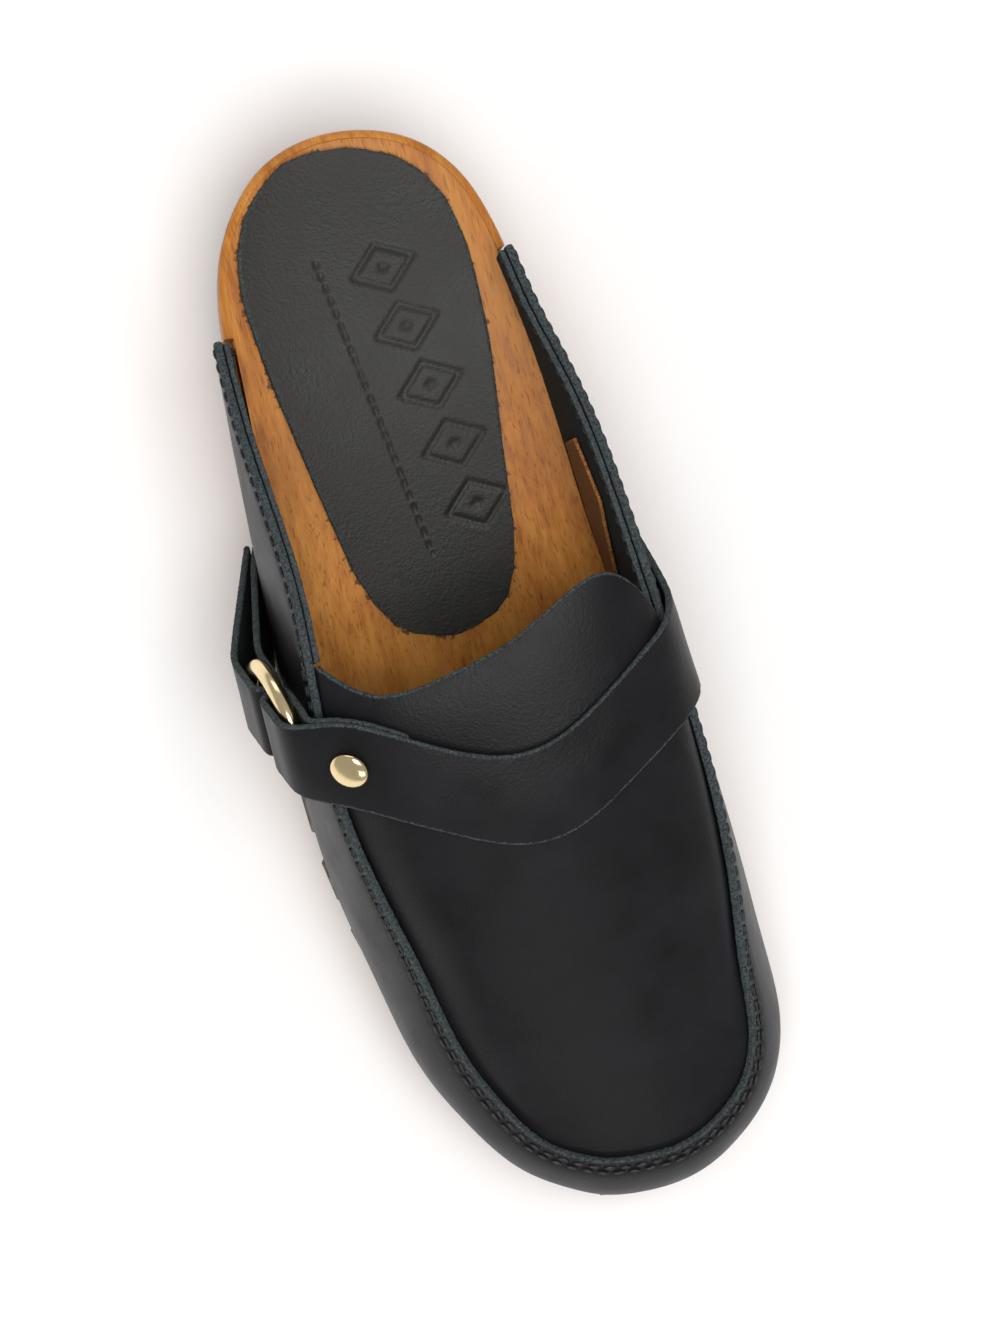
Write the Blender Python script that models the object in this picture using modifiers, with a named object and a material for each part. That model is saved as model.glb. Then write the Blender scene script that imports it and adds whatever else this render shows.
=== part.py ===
"""Open-backed clog for the right foot: wooden sole, stapled leather upper, and an instep strap on a ring.

Frame: +X towards the outer side of the foot, +Y towards the toe, +Z up, origin on the floor under the middle.
The design is worked out in millimetres, and every mesh is scaled to metres as it is made.
"""
import math

import bmesh
import bpy
import numpy as np
from mathutils import Matrix, Vector
from mathutils.bvhtree import BVHTree

MM = 0.001

# ---- driving sizes, in millimetres ----
SOLE_LENGTH = 252.0
BALL_WIDTH = 90.0
HEEL_RIM = 52.0
BALL_RIM = 28.5
TOE_KICK = 4.5
DISH = 3.6
TREAD_HEEL = 6.0
TREAD_FORE = 5.0
ARCH_RISE = 21.0
TOE_SPRING = 4.0
EDGE_ROUND = 2.0
HEEL_TAPER = 2.2
REBATE_DROP = 12.0
LEATHER = 1.9
LINING = 1.3
PAD = 1.8
PATCH = 0.8
PAD_GAP = 0.55
FIT = 0.3
REBATE = LEATHER + FIT
SEAM_LAP = 8.0
CROWN = 8.0
STRAP_WIDTH = 20.5
STRAP_END_WIDTH = 19.0
STRAP_LEATHER = 1.6
STRAP_EASE = 1.3
RING_INNER = 20.7
RING_WIRE = 4.8
RING_THICKNESS = 3.8
RING_HEIGHT = 74.0
RIVET_FROM_RING = 28.0
RIVET_CAP = 9.0
RIVET_POST = 3.0
RIVET_BACK = 0.8
RIVET_EASE = 1.1
RIVET_LIFT = 0.6
STAPLE_PITCH = 16.5
STAPLE_CROWN = 10.5
STAPLE_WIRE = 1.1
STAPLE_LEG = 9.0
STAPLE_RISE = 4.2

# The middle of the sole's outline, set so that the origin is under the middle of the whole shoe.
MIDDLE_X = -8.2
MIDDLE_Y = -1.5

# The strap lies in a plane that slopes back from the instep, and its cut bows towards the heel at both ends.
SLOPE = 0.7
SLAB_Y = 25.0
SLAB_Z = 88.0
STRAP_BOW = 15.0
BOW_REACH = 41.0
BOW_MIDDLE = MIDDLE_X + 4.0
ACROSS_WAY = np.array([1.0, 0.0, 0.0])
PLANE_WAY = np.array([0.0, SLOPE, 1.0]) / math.hypot(SLOPE, 1.0)
WIDTH_WAY = np.array([0.0, 1.0, -SLOPE]) / math.hypot(SLOPE, 1.0)
HUB = np.array([MIDDLE_X + 8.0, MIDDLE_Y + SLAB_Y - SLOPE * (SLAB_Z - 52.0), 52.0])

# The underside, as shares of the length: the heel's breast, the arch's end and the start of the toe spring.
BREAST = 0.263
ARCH_END = 0.53
FLAT_END = 0.727
FORE_START = 0.44

# ---- outlines: (clock angle round the sole, place across), as a share of the ball width ----
# The clock angle runs from 0 at the back of the heel to 180 at the toe.
OUTER_EDGE = [(0, .083), (7, .167), (15, .257), (22, .321), (31, .393), (41.5, .444), (55, .467),
              (70, .492), (88.5, .531), (99, .545), (110.5, .524), (121, .476), (132.5, .42), (143, .341),
              (154, .253), (163.5, .153), (172, .067), (180, -.044)]
INNER_EDGE = [(0, .083), (7, -.008), (15, -.109), (22, -.181), (31, -.248), (41.5, -.292), (54, -.322),
              (77, -.354), (92.5, -.394), (109, -.44), (128, -.452), (139.5, -.435), (153, -.337),
              (161, -.25),
              (170, -.157), (180, -.044)]
# Height of the footbed's rim between the ball (0) and the heel (1).
RIM_SHAPE = [(0, 1.0), (.19, .96), (.31, .745), (.43, .42), (.55, .12), (.67, 0), (.83, 0.0), (1, 0)]
# The wall's top edge: (clock angle, lean inwards from the sole's edge, rise above the rim).
TOP_EDGE = [(47.5, -3.2, 15), (60, -2.4, 27.5), (70.5, 0, 40.6), (78, 1.6, 48.8), (86, 1.9, 56.3),
            (94, 2.3, 54), (101, 2.9, 50.2), (110, 4, 45), (120, 4.4, 37.7), (130, 4, 31.2), (139, 3.3, 26),
            (153, 3.6, 21.3), (163, 5, 19.5), (172, 6.3, 18.7), (185, 6.2, 19), (196, 5, 20),
            (204, 4.2, 21.6), (212, 5, 25), (220, 6.3, 28.8), (228, 6.6, 32.5), (239, 4.6, 39.5),
            (250, 2.9, 48.5), (265, .6, 54.5), (280, -1.8, 46.7), (291.5, -2.2, 34.8), (300, -.8, 25.6),
            (306, .4, 20.5), (315, .4, 15.5)]
# How the wall swells: (clock angle, swell low down, swell near the top, drop of the top handle).
SWELL = [(47.5, 1.5, .5, 6), (60, 4.5, 1.5, 9), (75, 5.5, 3, 12), (90, 4, 3, 14), (110, 6, 4.2, 14),
         (130, 9, 6.5, 11), (150, 8.5, 6.5, 6), (180, 7.5, 6, 4), (210, 9, 6.5, 6), (230, 6, 5, 10),
         (250, 3, 3, 14), (270, 1, .5, 12), (290, .8, 0, 9), (315, .5, 0, 6)]
# The apron's free edge at the throat: (place across, place along from the middle, height above the ball rim).
THROAT = [(.36, 1, 68), (.19, 1, 71), (0, -3, 73.5), (-.17, -10, 74.5), (-.25, -11.5, 73.5), (-.33, -6, 69)]
# The sock pad, as a share of the half width of the footbed: (share of the length, inner side, outer side).
PAD_SHAPE = [(.0145, .25, .30), (.018, -.24, .62), (.024, -.42, .70), (.036, -.62, .79), (.055, -.71, .85),
             (.085, -.76, .855), (.13, -.755, .83), (.22, -.675, .74), (.31, -.572, .617), (.39, -.495, .50),
             (.425, -.43, .415), (.448, -.35, .32), (.46, -.26, .22), (.4675, -.12, .08), (.4705, -.02, 0)]

WING_OUTER = 47.5
WING_INNER = 315.0
PATCH_FIRST = 275.0
PATCH_LAST = 290.0
THROAT_OUTER = 86.0
THROAT_INNER = 263.0
CORNER_OUTER = 141.0
CORNER_INNER = 216.0
EDGE_STEPS = 34
WALL_STEPS = 82
WALL_ROWS = 8
STRAP_STEPS = 56


# ---------------------------------------------------------------- curves
def spline(table, at):
    """Natural cubic spline through a table's rows, read at one place or many."""
    rows = np.array(table, float)
    knots = rows[:, 0]
    values = rows[:, 1:]
    gaps = np.diff(knots)
    size = len(knots)
    system = np.zeros((size, size))
    right = np.zeros((size, values.shape[1]))
    system[0, 0] = system[-1, -1] = 1.0
    for i in range(1, size - 1):
        system[i, i - 1:i + 2] = gaps[i - 1], 2.0 * (gaps[i - 1] + gaps[i]), gaps[i]
        right[i] = 6.0 * ((values[i + 1] - values[i]) / gaps[i] - (values[i] - values[i - 1]) / gaps[i - 1])
    bend = np.linalg.solve(system, right)
    at = np.atleast_1d(np.asarray(at, float))
    i = np.clip(np.searchsorted(knots, at) - 1, 0, size - 2)
    h = gaps[i][:, None]
    u = (at - knots[i])[:, None]
    v = h - u
    return ((bend[i] * v ** 3 + bend[i + 1] * u ** 3) / (6.0 * h)
            + (values[i] / h - bend[i] * h / 6.0) * v + (values[i + 1] / h - bend[i + 1] * h / 6.0) * u)


def resample(points, count):
    """Points spread evenly along a polyline."""
    points = np.asarray(points, float)
    walked = np.concatenate([[0], np.cumsum(np.linalg.norm(np.diff(points, axis=0), axis=1))])
    targets = np.linspace(0, walked[-1], count)
    return np.stack([np.interp(targets, walked, points[:, k]) for k in range(points.shape[1])], 1)


# ---------------------------------------------------------------- the sole's outline and heights
def along(share):
    """Place along the shoe of a share of its length, from 0 at the heel to 1 at the toe."""
    return MIDDLE_Y + (share - 0.5) * SOLE_LENGTH


def share_of(y):
    return np.clip((y - MIDDLE_Y) / SOLE_LENGTH + 0.5, 0, 1)


def outline(clock, inset=0.0):
    """Points of the sole's edge at clock angles up to 360, moved inwards by an inset."""
    clock = np.atleast_1d(np.asarray(clock, float))

    def edge(angle):
        folded = np.where(angle <= 180, angle, 360 - angle)
        across = np.where(angle <= 180, spline(OUTER_EDGE, folded)[:, 0], spline(INNER_EDGE, folded)[:, 0])
        return np.stack([MIDDLE_X + across * BALL_WIDTH, along(0.5 - 0.5 * np.cos(np.radians(folded)))], 1)

    ahead = edge(np.mod(clock + 0.4, 360))
    behind = edge(np.mod(clock - 0.4, 360))
    way = ahead - behind
    inwards = np.stack([-way[:, 1], way[:, 0]], 1) / np.linalg.norm(way, axis=1)[:, None]
    return edge(clock) + inwards * np.reshape(inset, (-1, 1)), -inwards


def rim_height(y):
    share = share_of(np.asarray(y, float))
    kick = np.clip((share - 0.8) / 0.2, 0, 1) ** 2 * TOE_KICK
    return BALL_RIM + (HEEL_RIM - BALL_RIM) * np.interp(share, *SMOOTH_RIM) + kick


RIM_STEPS = np.linspace(0, 1, 201)
SMOOTH_RIM = (RIM_STEPS, np.clip(spline(RIM_SHAPE, RIM_STEPS)[:, 0], 0, 1.02))


def footbed_height(x, y):
    """The dished footbed: level with the rim at the edge, DISH lower in the middle."""
    share = share_of(y)
    folded = math.degrees(math.acos(1 - 2 * share))
    inner = MIDDLE_X + spline(INNER_EDGE, folded)[0, 0] * BALL_WIDTH
    outer = MIDDLE_X + spline(OUTER_EDGE, folded)[0, 0] * BALL_WIDTH
    across = min(1.0, abs(2 * (x - inner) / max(outer - inner, 1e-6) - 1))
    return float(rim_height(y)) - DISH * (1 - across ** 2.5) * math.sin(math.radians(folded)) ** 0.6


# ---------------------------------------------------------------- mesh helpers
def collection(name):
    group = bpy.data.collections.new(name)
    bpy.context.scene.collection.children.link(group)
    return group


def material(name, colour, roughness, metallic=0.0):
    made = bpy.data.materials.new(name)
    made.use_nodes = True
    shader = made.node_tree.nodes["Principled BSDF"]
    shader.inputs["Base Color"].default_value = (*colour, 1.0)
    shader.inputs["Roughness"].default_value = roughness
    shader.inputs["Metallic"].default_value = metallic
    return made


def add_object(name, mesh, group, look=None):
    made = bpy.data.objects.new(name, mesh)
    group.objects.link(made)
    if look:
        mesh.materials.clear()
        mesh.materials.append(look)
    return made


def mesh_from(name, points, faces, smooth=True):
    """A mesh in metres from points in millimetres, with its faces turned outwards."""
    mesh = bpy.data.meshes.new(name)
    mesh.from_pydata([tuple(float(c) * MM for c in p) for p in points], [], faces)
    work = bmesh.new()
    work.from_mesh(mesh)
    bmesh.ops.remove_doubles(work, verts=work.verts, dist=1e-6)
    bmesh.ops.recalc_face_normals(work, faces=work.faces)
    work.to_mesh(mesh)
    work.free()
    if smooth:
        mesh.shade_smooth()
        mesh.set_sharp_from_angle(angle=math.radians(40))
    return mesh


def loft(name, rows, closed=False, caps=False):
    """A skin over rows of points. Closed joins each row's ends, and caps fill its first and last rows."""
    count = len(rows[0])
    points = [p for row in rows for p in row]
    faces = []
    for i in range(len(rows) - 1):
        for j in range(count if closed else count - 1):
            k = (j + 1) % count
            faces.append((i * count + j, i * count + k, (i + 1) * count + k, (i + 1) * count + j))
    if caps:
        faces.append(tuple(range(count)))
        faces.append(tuple((len(rows) - 1) * count + j for j in range(count)))
    return mesh_from(name, points, faces)


def solid_between(name, outer, inner):
    """A closed sheet between two grids of the same size."""
    rows = len(outer)
    count = len(outer[0])
    points = [p for row in outer for p in row] + [p for row in inner for p in row]
    back = rows * count
    faces = []
    for i in range(rows - 1):
        for j in range(count - 1):
            a = i * count + j
            faces.append((a, a + 1, a + count + 1, a + count))
            faces.append((back + a, back + a + count, back + a + count + 1, back + a + 1))
    for j in range(count - 1):
        last = (rows - 1) * count + j
        faces.append((j, back + j, back + j + 1, j + 1))
        faces.append((last, last + 1, back + last + 1, back + last))
    for i in range(rows - 1):
        a = i * count
        b = a + count - 1
        faces.append((a, a + count, back + a + count, back + a))
        faces.append((b, back + b, back + b + count, b + count))
    return mesh_from(name, points, faces)


def grid_normals(grid, away_from):
    """Unit normals of a grid of points, pointing away from a centre."""
    grid = np.asarray(grid, float)
    normals = np.cross(np.gradient(grid, axis=0), np.gradient(grid, axis=1))
    normals /= np.maximum(np.linalg.norm(normals, axis=2), 1e-9)[:, :, None]
    side = np.sign(np.sum(normals * (grid - np.asarray(away_from, float)), axis=2))
    return normals * np.sign(np.median(side))


def cut(target, cutter, operation="DIFFERENCE"):
    cutter.hide_render = True
    cutter.display_type = "WIRE"
    boolean = target.modifiers.new("cut", "BOOLEAN")
    boolean.operation = operation
    boolean.object = cutter
    boolean.solver = "EXACT"


def settle(target):
    """Apply an object's modifiers to its mesh."""
    graph = bpy.context.evaluated_depsgraph_get()
    mesh = bpy.data.meshes.new_from_object(target.evaluated_get(graph))
    work = bmesh.new()
    work.from_mesh(mesh)
    bmesh.ops.remove_doubles(work, verts=work.verts, dist=2e-6)
    bmesh.ops.dissolve_degenerate(work, edges=work.edges, dist=2e-6)
    work.to_mesh(mesh)
    work.free()
    target.modifiers.clear()
    target.data = mesh
    return target


def screw(name, profile, steps, group, look, closed=False):
    """A turned piece from a profile of (radius, height), run down its outer side."""
    mesh = bpy.data.meshes.new(name)
    points = [(r * MM, 0, z * MM) for r, z in profile]
    links = [(i, i + 1) for i in range(len(points) - 1)]
    if closed:
        links.append((len(points) - 1, 0))
    mesh.from_pydata(points, links, [])
    made = add_object(name, mesh, group, look)
    turn = made.modifiers.new("turn", "SCREW")
    turn.steps = steps
    turn.render_steps = steps
    turn.use_merge_vertices = True
    turn.merge_threshold = 1e-6
    turn.use_normal_calculate = True
    settle(made)
    outwards(made.data)
    made.data.shade_smooth()
    return made


def outwards(mesh):
    work = bmesh.new()
    work.from_mesh(mesh)
    bmesh.ops.recalc_face_normals(work, faces=work.faces)
    work.to_mesh(mesh)
    work.free()


def carry(made, origin, axis):
    """Stand a turned piece on a point, its own Z along an axis."""
    made.location = Vector([float(c) * MM for c in origin])
    made.rotation_mode = "QUATERNION"
    made.rotation_quaternion = Vector([float(c) for c in axis]).to_track_quat("Z", "Y")


def prism(name, ring, low, high, group):
    """A solid with one outline between two heights."""
    rows = [[(x, y, low) for x, y in ring], [(x, y, high) for x, y in ring]]
    return add_object(name, loft(name, rows, closed=True, caps=True), group)


def side_cut(name, profile, group):
    """A solid with a side outline of (along, height), wider than the shoe."""
    half = BALL_WIDTH
    rows = [[(MIDDLE_X + side * half, y, z) for y, z in profile] for side in (-1, 1)]
    return add_object(name, loft(name, rows, closed=True, caps=True), group)


# ---------------------------------------------------------------- wood and treads
def ring_of(inset, height):
    """One level of the sole: the whole outline with its inset and height."""
    clock = np.concatenate([np.linspace(0, 180, EDGE_STEPS, endpoint=False),
                            np.linspace(180, 360, EDGE_STEPS, endpoint=False)])
    points, _ = outline(clock, inset)
    return [(x, y, height(y) if callable(height) else height) for x, y in points]


def under_profile(depth):
    """The line of the sole's underside between the heel and the toe, a depth below the wood."""
    breast = along(BREAST)
    arch_end = along(ARCH_END)
    flat_end = along(FLAT_END)
    line = [(breast, -depth), (breast + .8, ARCH_RISE * .45 - depth), (breast + 2.2, ARCH_RISE * .72 - depth),
            (breast + 5.5, ARCH_RISE * .92 - depth), (breast + 11, ARCH_RISE - depth)]
    for step in range(1, 9):
        share = step / 8
        ease = 0.5 + 0.5 * math.cos(math.pi * share)
        line.append((breast + 11 + (arch_end - breast - 11) * share,
                     TREAD_FORE + (ARCH_RISE - TREAD_FORE) * ease - depth))
    for step in range(1, 9):
        share = step / 8
        rise = TOE_SPRING * share ** 2 * 1.06
        line.append((flat_end + (along(1.03) - flat_end) * share, TREAD_FORE + rise - depth))
    return line


def make_sole(parts, cutters, looks):
    """The one-piece wooden sole: a tapered heel, an arch, a dished footbed, and a rebate for the upper."""
    rings = [ring_of(HEEL_TAPER, 0.0), ring_of(HEEL_TAPER * .4, lambda y: rim_height(y) * .5),
             ring_of(0.0, lambda y: rim_height(y) - REBATE_DROP * 1.2),
             ring_of(0.0, lambda y: rim_height(y) - EDGE_ROUND),
             ring_of(EDGE_ROUND * .3, lambda y: rim_height(y) - EDGE_ROUND * .3),
             ring_of(EDGE_ROUND, rim_height)]
    count = len(rings[0])
    points = [p for ring in rings for p in ring]
    faces = []
    for i in range(len(rings) - 1):
        for j in range(count):
            k = (j + 1) % count
            faces.append((i * count + j, i * count + k, (i + 1) * count + k, (i + 1) * count + j))
    faces.append(tuple(range(count)))
    top = rings[-1]
    across = 8
    rows = []
    base = (len(rings) - 1) * count
    for j in range(1, EDGE_STEPS):
        low = base + j
        high = base + count - j
        row = [low]
        for step in range(1, across):
            share = step / across
            x = top[j][0] + (top[count - j][0] - top[j][0]) * share
            y = top[j][1] + (top[count - j][1] - top[j][1]) * share
            points.append((x, y, footbed_height(x, y)))
            row.append(len(points) - 1)
        row.append(high)
        rows.append(row)
    for first, second in zip(rows, rows[1:]):
        for j in range(across):
            faces.append((first[j], first[j + 1], second[j + 1], second[j]))
    for row, tip in ((rows[0], base), (rows[-1], base + EDGE_STEPS)):
        for j in range(across):
            faces.append((tip, row[j], row[j + 1]))
    sole = add_object("wooden_sole", mesh_from("wooden_sole", points, faces), parts, looks["wood"])

    heel_cut = [(along(-.1), -10), (along(.4), -10), (along(.4), TREAD_HEEL), (along(-.1), TREAD_HEEL)]
    cut(sole, side_cut("heel_cut", heel_cut, cutters))
    settle(sole)
    under = under_profile(0.0)
    under[0] = (under[0][0], -10)
    cut(sole, side_cut("arch_cut", under + [(along(1.1), TREAD_FORE), (along(1.1), -10)], cutters))
    settle(sole)

    clock = np.linspace(WING_OUTER - .8, WING_INNER + .8, 96)
    inside, _ = outline(clock, REBATE)
    outside, _ = outline(clock, -8.0)
    ledge = rim_height(outline(clock)[0][:, 1]) - REBATE_DROP
    lower_in = [(x, y, z) for (x, y), z in zip(inside, ledge)]
    lower_out = [(x, y, z) for (x, y), z in zip(outside, ledge)]
    upper_in = [(x, y, z + 60) for x, y, z in lower_in]
    upper_out = [(x, y, z + 60) for x, y, z in lower_out]
    mesh = solid_between("rebate", [lower_in, upper_in], [lower_out, upper_out])
    rebate = add_object("rebate", mesh, cutters)
    cut(sole, rebate)
    settle(sole)
    return sole


def make_treads(parts, cutters, looks):
    """The rubber under the forepart follows the wood's underside, and the heel's tread is a flat block."""
    band = [(y, z) for y, z in under_profile(FIT) if y > along(FORE_START)]
    start = band[0][0]
    lower = [(y, max(0.0, z + FIT - TREAD_FORE)) for y, z in band]
    lower[0] = (start, band[0][1] - TREAD_FORE * .5)
    forepart = prism("forepart_outsole", [(x, y) for x, y, _ in ring_of(1.2, 0.0)], -2.0, 40.0, parts)
    forepart.data.materials.append(looks["rubber"])
    cut(forepart, side_cut("tread_band", band + lower[::-1], cutters), "INTERSECT")
    settle(forepart)

    breast = along(BREAST)
    sole_edge = [(x, y) for x, y, _ in ring_of(HEEL_TAPER + .4, 0.0)]
    heel = prism("heel_tread", sole_edge, 0.0, TREAD_HEEL - FIT, parts)
    heel.data.materials.append(looks["rubber"])
    front = [(breast - .6, -5), (along(1.1), -5), (along(1.1), 20), (breast - .6, 20)]
    cut(heel, side_cut("tread_front", front, cutters))
    settle(heel)
    return forepart, heel


# ---------------------------------------------------------------- upper
def wall_grid(first, last, count, rows=WALL_ROWS, low=0.0):
    """The wall's outer face between two clock angles, from its foot on the ledge up to its top edge."""
    clock = np.linspace(first, last, count)
    foot, outwards = outline(clock)
    rim = rim_height(foot[:, 1])
    lean, rise = spline(TOP_EDGE, clock).T
    swell_low, swell_high, drop = spline(SWELL, clock).T
    head, _ = outline(clock, lean)
    p0 = np.column_stack([foot, rim - REBATE_DROP + FIT])
    p3 = np.column_stack([head, rim + rise])
    side = np.column_stack([outwards, np.zeros(count)])
    up = np.array([0, 0, 1.0])
    p1 = p0 + side * swell_low[:, None] + up * (.36 * (p3 - p0)[:, 2])[:, None]
    p2 = p3 + side * swell_high[:, None] - up * drop[:, None]
    grid = []
    for t in np.linspace(low, 1, rows):
        grid.append(p0 * (1 - t) ** 3 + p1 * 3 * t * (1 - t) ** 2 + p2 * 3 * t ** 2 * (1 - t) + p3 * t ** 3)
    return np.array(grid)


def inside_wall(grid, depth):
    return grid - grid_normals(grid, (MIDDLE_X, MIDDLE_Y, 40)) * depth


def make_wrap(parts, looks):
    """The wall of the upper, one strip of leather from the outer wing round the toe to the inner wing."""
    grid = wall_grid(WING_OUTER, WING_INNER, WALL_STEPS)
    mesh = solid_between("side_wrap", grid, inside_wall(grid, LEATHER))
    return add_object("side_wrap", mesh, parts, looks["leather"])


def make_lining(name, first, last, count, parts, looks):
    """A lining behind one wing, from just above the footbed's rim to just under the wing's top edge."""
    full = wall_grid(first, last, count, 41)
    outer = inside_wall(full, LEATHER + FIT)
    inner = inside_wall(full, LEATHER + FIT + LINING)
    rows = [[], []]
    for j in range(count):
        rim = float(rim_height(full[0, j, 1])) + 1.0
        for side, sheet in enumerate((outer, inner)):
            column = sheet[:, j]
            start = np.interp(rim, column[:, 2], np.arange(41))
            picks = np.linspace(start, 40, 6)
            rows[side].append([[np.interp(p, np.arange(41), column[:, k]) for k in range(3)] for p in picks])
    return add_object(name, solid_between(name, rows[0], rows[1]), parts, looks)


def make_patch(parts, looks):
    """The tan leather patch glued inside the inner wing."""
    full = wall_grid(PATCH_FIRST, PATCH_LAST, 12, 41)
    depth = LEATHER + LINING + 2 * FIT
    outer = inside_wall(full, depth)
    inner = inside_wall(full, depth + PATCH)
    picks = [[], []]
    for j in range(12):
        rim = float(rim_height(full[0, j, 1]))
        for side, sheet in enumerate((outer, inner)):
            column = sheet[:, j]
            low = np.interp(rim + 10, column[:, 2], np.arange(41))
            high = np.interp(rim + 32 - abs(j - 5.5) * 1.8, column[:, 2], np.arange(41))
            picks[side].append([[np.interp(p, np.arange(41), column[:, k]) for k in range(3)]
                                for p in np.linspace(low, high, 4)])
    return add_object("lining_patch", solid_between("lining_patch", picks[0], picks[1]), parts, looks)


def apron_grid(steps_across=20, steps_along=20):
    """The plug's upper face: a crowned patch between the seam's two sides, the toe and the throat."""
    depth = LEATHER + FIT

    def seam(first, last, count):
        grid = wall_grid(first, last, count, 21)
        return inside_wall(grid, depth)[-1]

    u = np.linspace(0, 1, steps_across + 1)
    v = np.linspace(0, 1, steps_along + 1)
    outer = seam(THROAT_OUTER, CORNER_OUTER, steps_along + 1)
    toe = seam(CORNER_OUTER, CORNER_INNER, steps_across + 1)
    inner = seam(THROAT_INNER, CORNER_INNER, steps_along + 1)
    knots = [outer[0]]
    for across, place, height in THROAT:
        knots.append((MIDDLE_X + across * BALL_WIDTH, MIDDLE_Y + place, BALL_RIM + height))
    knots.append(inner[0])
    knots = np.array(knots)
    walked = np.concatenate([[0], np.cumsum(np.linalg.norm(np.diff(knots, axis=0), axis=1))])
    curve = spline(np.column_stack([walked, knots]), np.linspace(0, walked[-1], 121))
    throat = resample(curve, steps_across + 1)
    grid = np.zeros((steps_along + 1, steps_across + 1, 3))
    for i in range(steps_along + 1):
        for j in range(steps_across + 1):
            ruled = ((1 - u[j]) * outer[i] + u[j] * inner[i] + (1 - v[i]) * throat[j] + v[i] * toe[j]
                     - (1 - u[j]) * (1 - v[i]) * outer[0] - u[j] * (1 - v[i]) * inner[0]
                     - (1 - u[j]) * v[i] * outer[-1] - u[j] * v[i] * inner[-1])
            arch = (1 - abs(2 * u[j] - 1) ** 2.2) * (1 - v[i] ** 2.5) * min(1.0, v[i] * 4.0)
            ruled[2] += CROWN * arch
            grid[i, j] = ruled
    return grid


def make_apron(parts, looks):
    """The plug with the margin that is lapped under the wall, along both sides and round the toe."""
    grid = apron_grid()
    rows, columns = grid.shape[:2]
    points = [tuple(p) for row in grid for p in row]
    faces = []
    for i in range(rows - 1):
        for j in range(columns - 1):
            a = i * columns + j
            faces.append((a, a + 1, a + columns + 1, a + columns))
    border = [i * columns for i in range(rows)]
    border += [(rows - 1) * columns + j for j in range(1, columns)]
    border += [i * columns + columns - 1 for i in range(rows - 2, -1, -1)]
    clock = np.concatenate([np.linspace(THROAT_OUTER, CORNER_OUTER, rows),
                            np.linspace(CORNER_OUTER, CORNER_INNER, columns)[1:],
                            np.linspace(CORNER_INNER, THROAT_INNER, rows)[1:]])
    margins = []
    for angle in clock:
        column = inside_wall(wall_grid(angle - .5, angle + .5, 3, 41), LEATHER + FIT)[::-1, 1]
        walked = np.concatenate([[0], np.cumsum(np.linalg.norm(np.diff(column, axis=0), axis=1))])
        depths = (SEAM_LAP / 2, SEAM_LAP)
        margins.append([[np.interp(d, walked, column[:, k]) for k in range(3)] for d in depths])
    before = border
    for level in range(2):
        start = len(points)
        points += [tuple(m[level]) for m in margins]
        now = list(range(start, start + len(clock)))
        for k in range(len(clock) - 1):
            faces.append((before[k], before[k + 1], now[k + 1], now[k]))
        before = now
    mesh = mesh_from("apron", points, faces)
    made = add_object("apron", mesh, parts, looks["leather"])
    upwards = sum(p.normal.z * p.area for p in mesh.polygons)
    if upwards < 0:
        mesh.flip_normals()
    thick = made.modifiers.new("leather", "SOLIDIFY")
    thick.thickness = (LEATHER - .3) * MM
    thick.offset = -1
    settle(made)
    return made


def make_pad(parts, looks):
    """The sock pad, following the dish of the footbed."""
    steps, across = 24, 6
    rows = []
    heel_end, fore_end = PAD_SHAPE[0][0], PAD_SHAPE[-1][0]
    eased_steps = 0.5 - 0.5 * np.cos(np.linspace(0, math.pi, steps + 1))
    shares = heel_end + (fore_end - heel_end) * eased_steps
    for share in shares[1:-1]:
        y = along(share)
        folded = math.degrees(math.acos(1 - 2 * share))
        inner = MIDDLE_X + spline(INNER_EDGE, folded)[0, 0] * BALL_WIDTH
        outer = MIDDLE_X + spline(OUTER_EDGE, folded)[0, 0] * BALL_WIDTH
        middle, half = (inner + outer) / 2, (outer - inner) / 2
        table = np.array(PAD_SHAPE)
        left = middle + np.interp(share, table[:, 0], table[:, 1]) * half
        right = middle + np.interp(share, table[:, 0], table[:, 2]) * half
        rows.append([(x, y) for x in np.linspace(left, right, across + 1)])
    lower = [[(x, y, footbed_height(x, y) + PAD_GAP) for x, y in row] for row in rows]
    upper = [[(x, y, z + PAD) for x, y, z in row] for row in lower]
    return add_object("sock_pad", solid_between("sock_pad", upper, lower), parts, looks["pad"])


# ---------------------------------------------------------------- strap, tab and ring
def flat(point):
    """A point's two coordinates in the strap's sloping plane."""
    return np.array([np.dot(point - HUB, ACROSS_WAY), np.dot(point - HUB, PLANE_WAY)])


def bow(x):
    """How far the strap's cut swings back towards the heel, from its middle to its two ends."""
    share = np.clip(abs(x - BOW_MIDDLE) / BOW_REACH, 0, 1)
    return STRAP_BOW * (0.5 - 0.5 * math.cos(math.pi * share))


def solid_point(pair, width):
    point = HUB + ACROSS_WAY * pair[0] + PLANE_WAY * pair[1] + WIDTH_WAY * width
    point[1] -= bow(point[0])
    return point


def tree_of(objects, bowed=False):
    """A search tree over several objects' meshes, in millimetres, with the strap's bow taken out or left."""
    points, faces = [], []
    for item in objects:
        start = len(points)
        for vertex in item.data.vertices:
            place = vertex.co / MM
            points.append((place.x, place.y + (bow(place.x) if bowed else 0), place.z))
        faces += [tuple(start + k for k in p.vertices) for p in item.data.polygons]
    return BVHTree.FromPolygons(points, faces)


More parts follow.
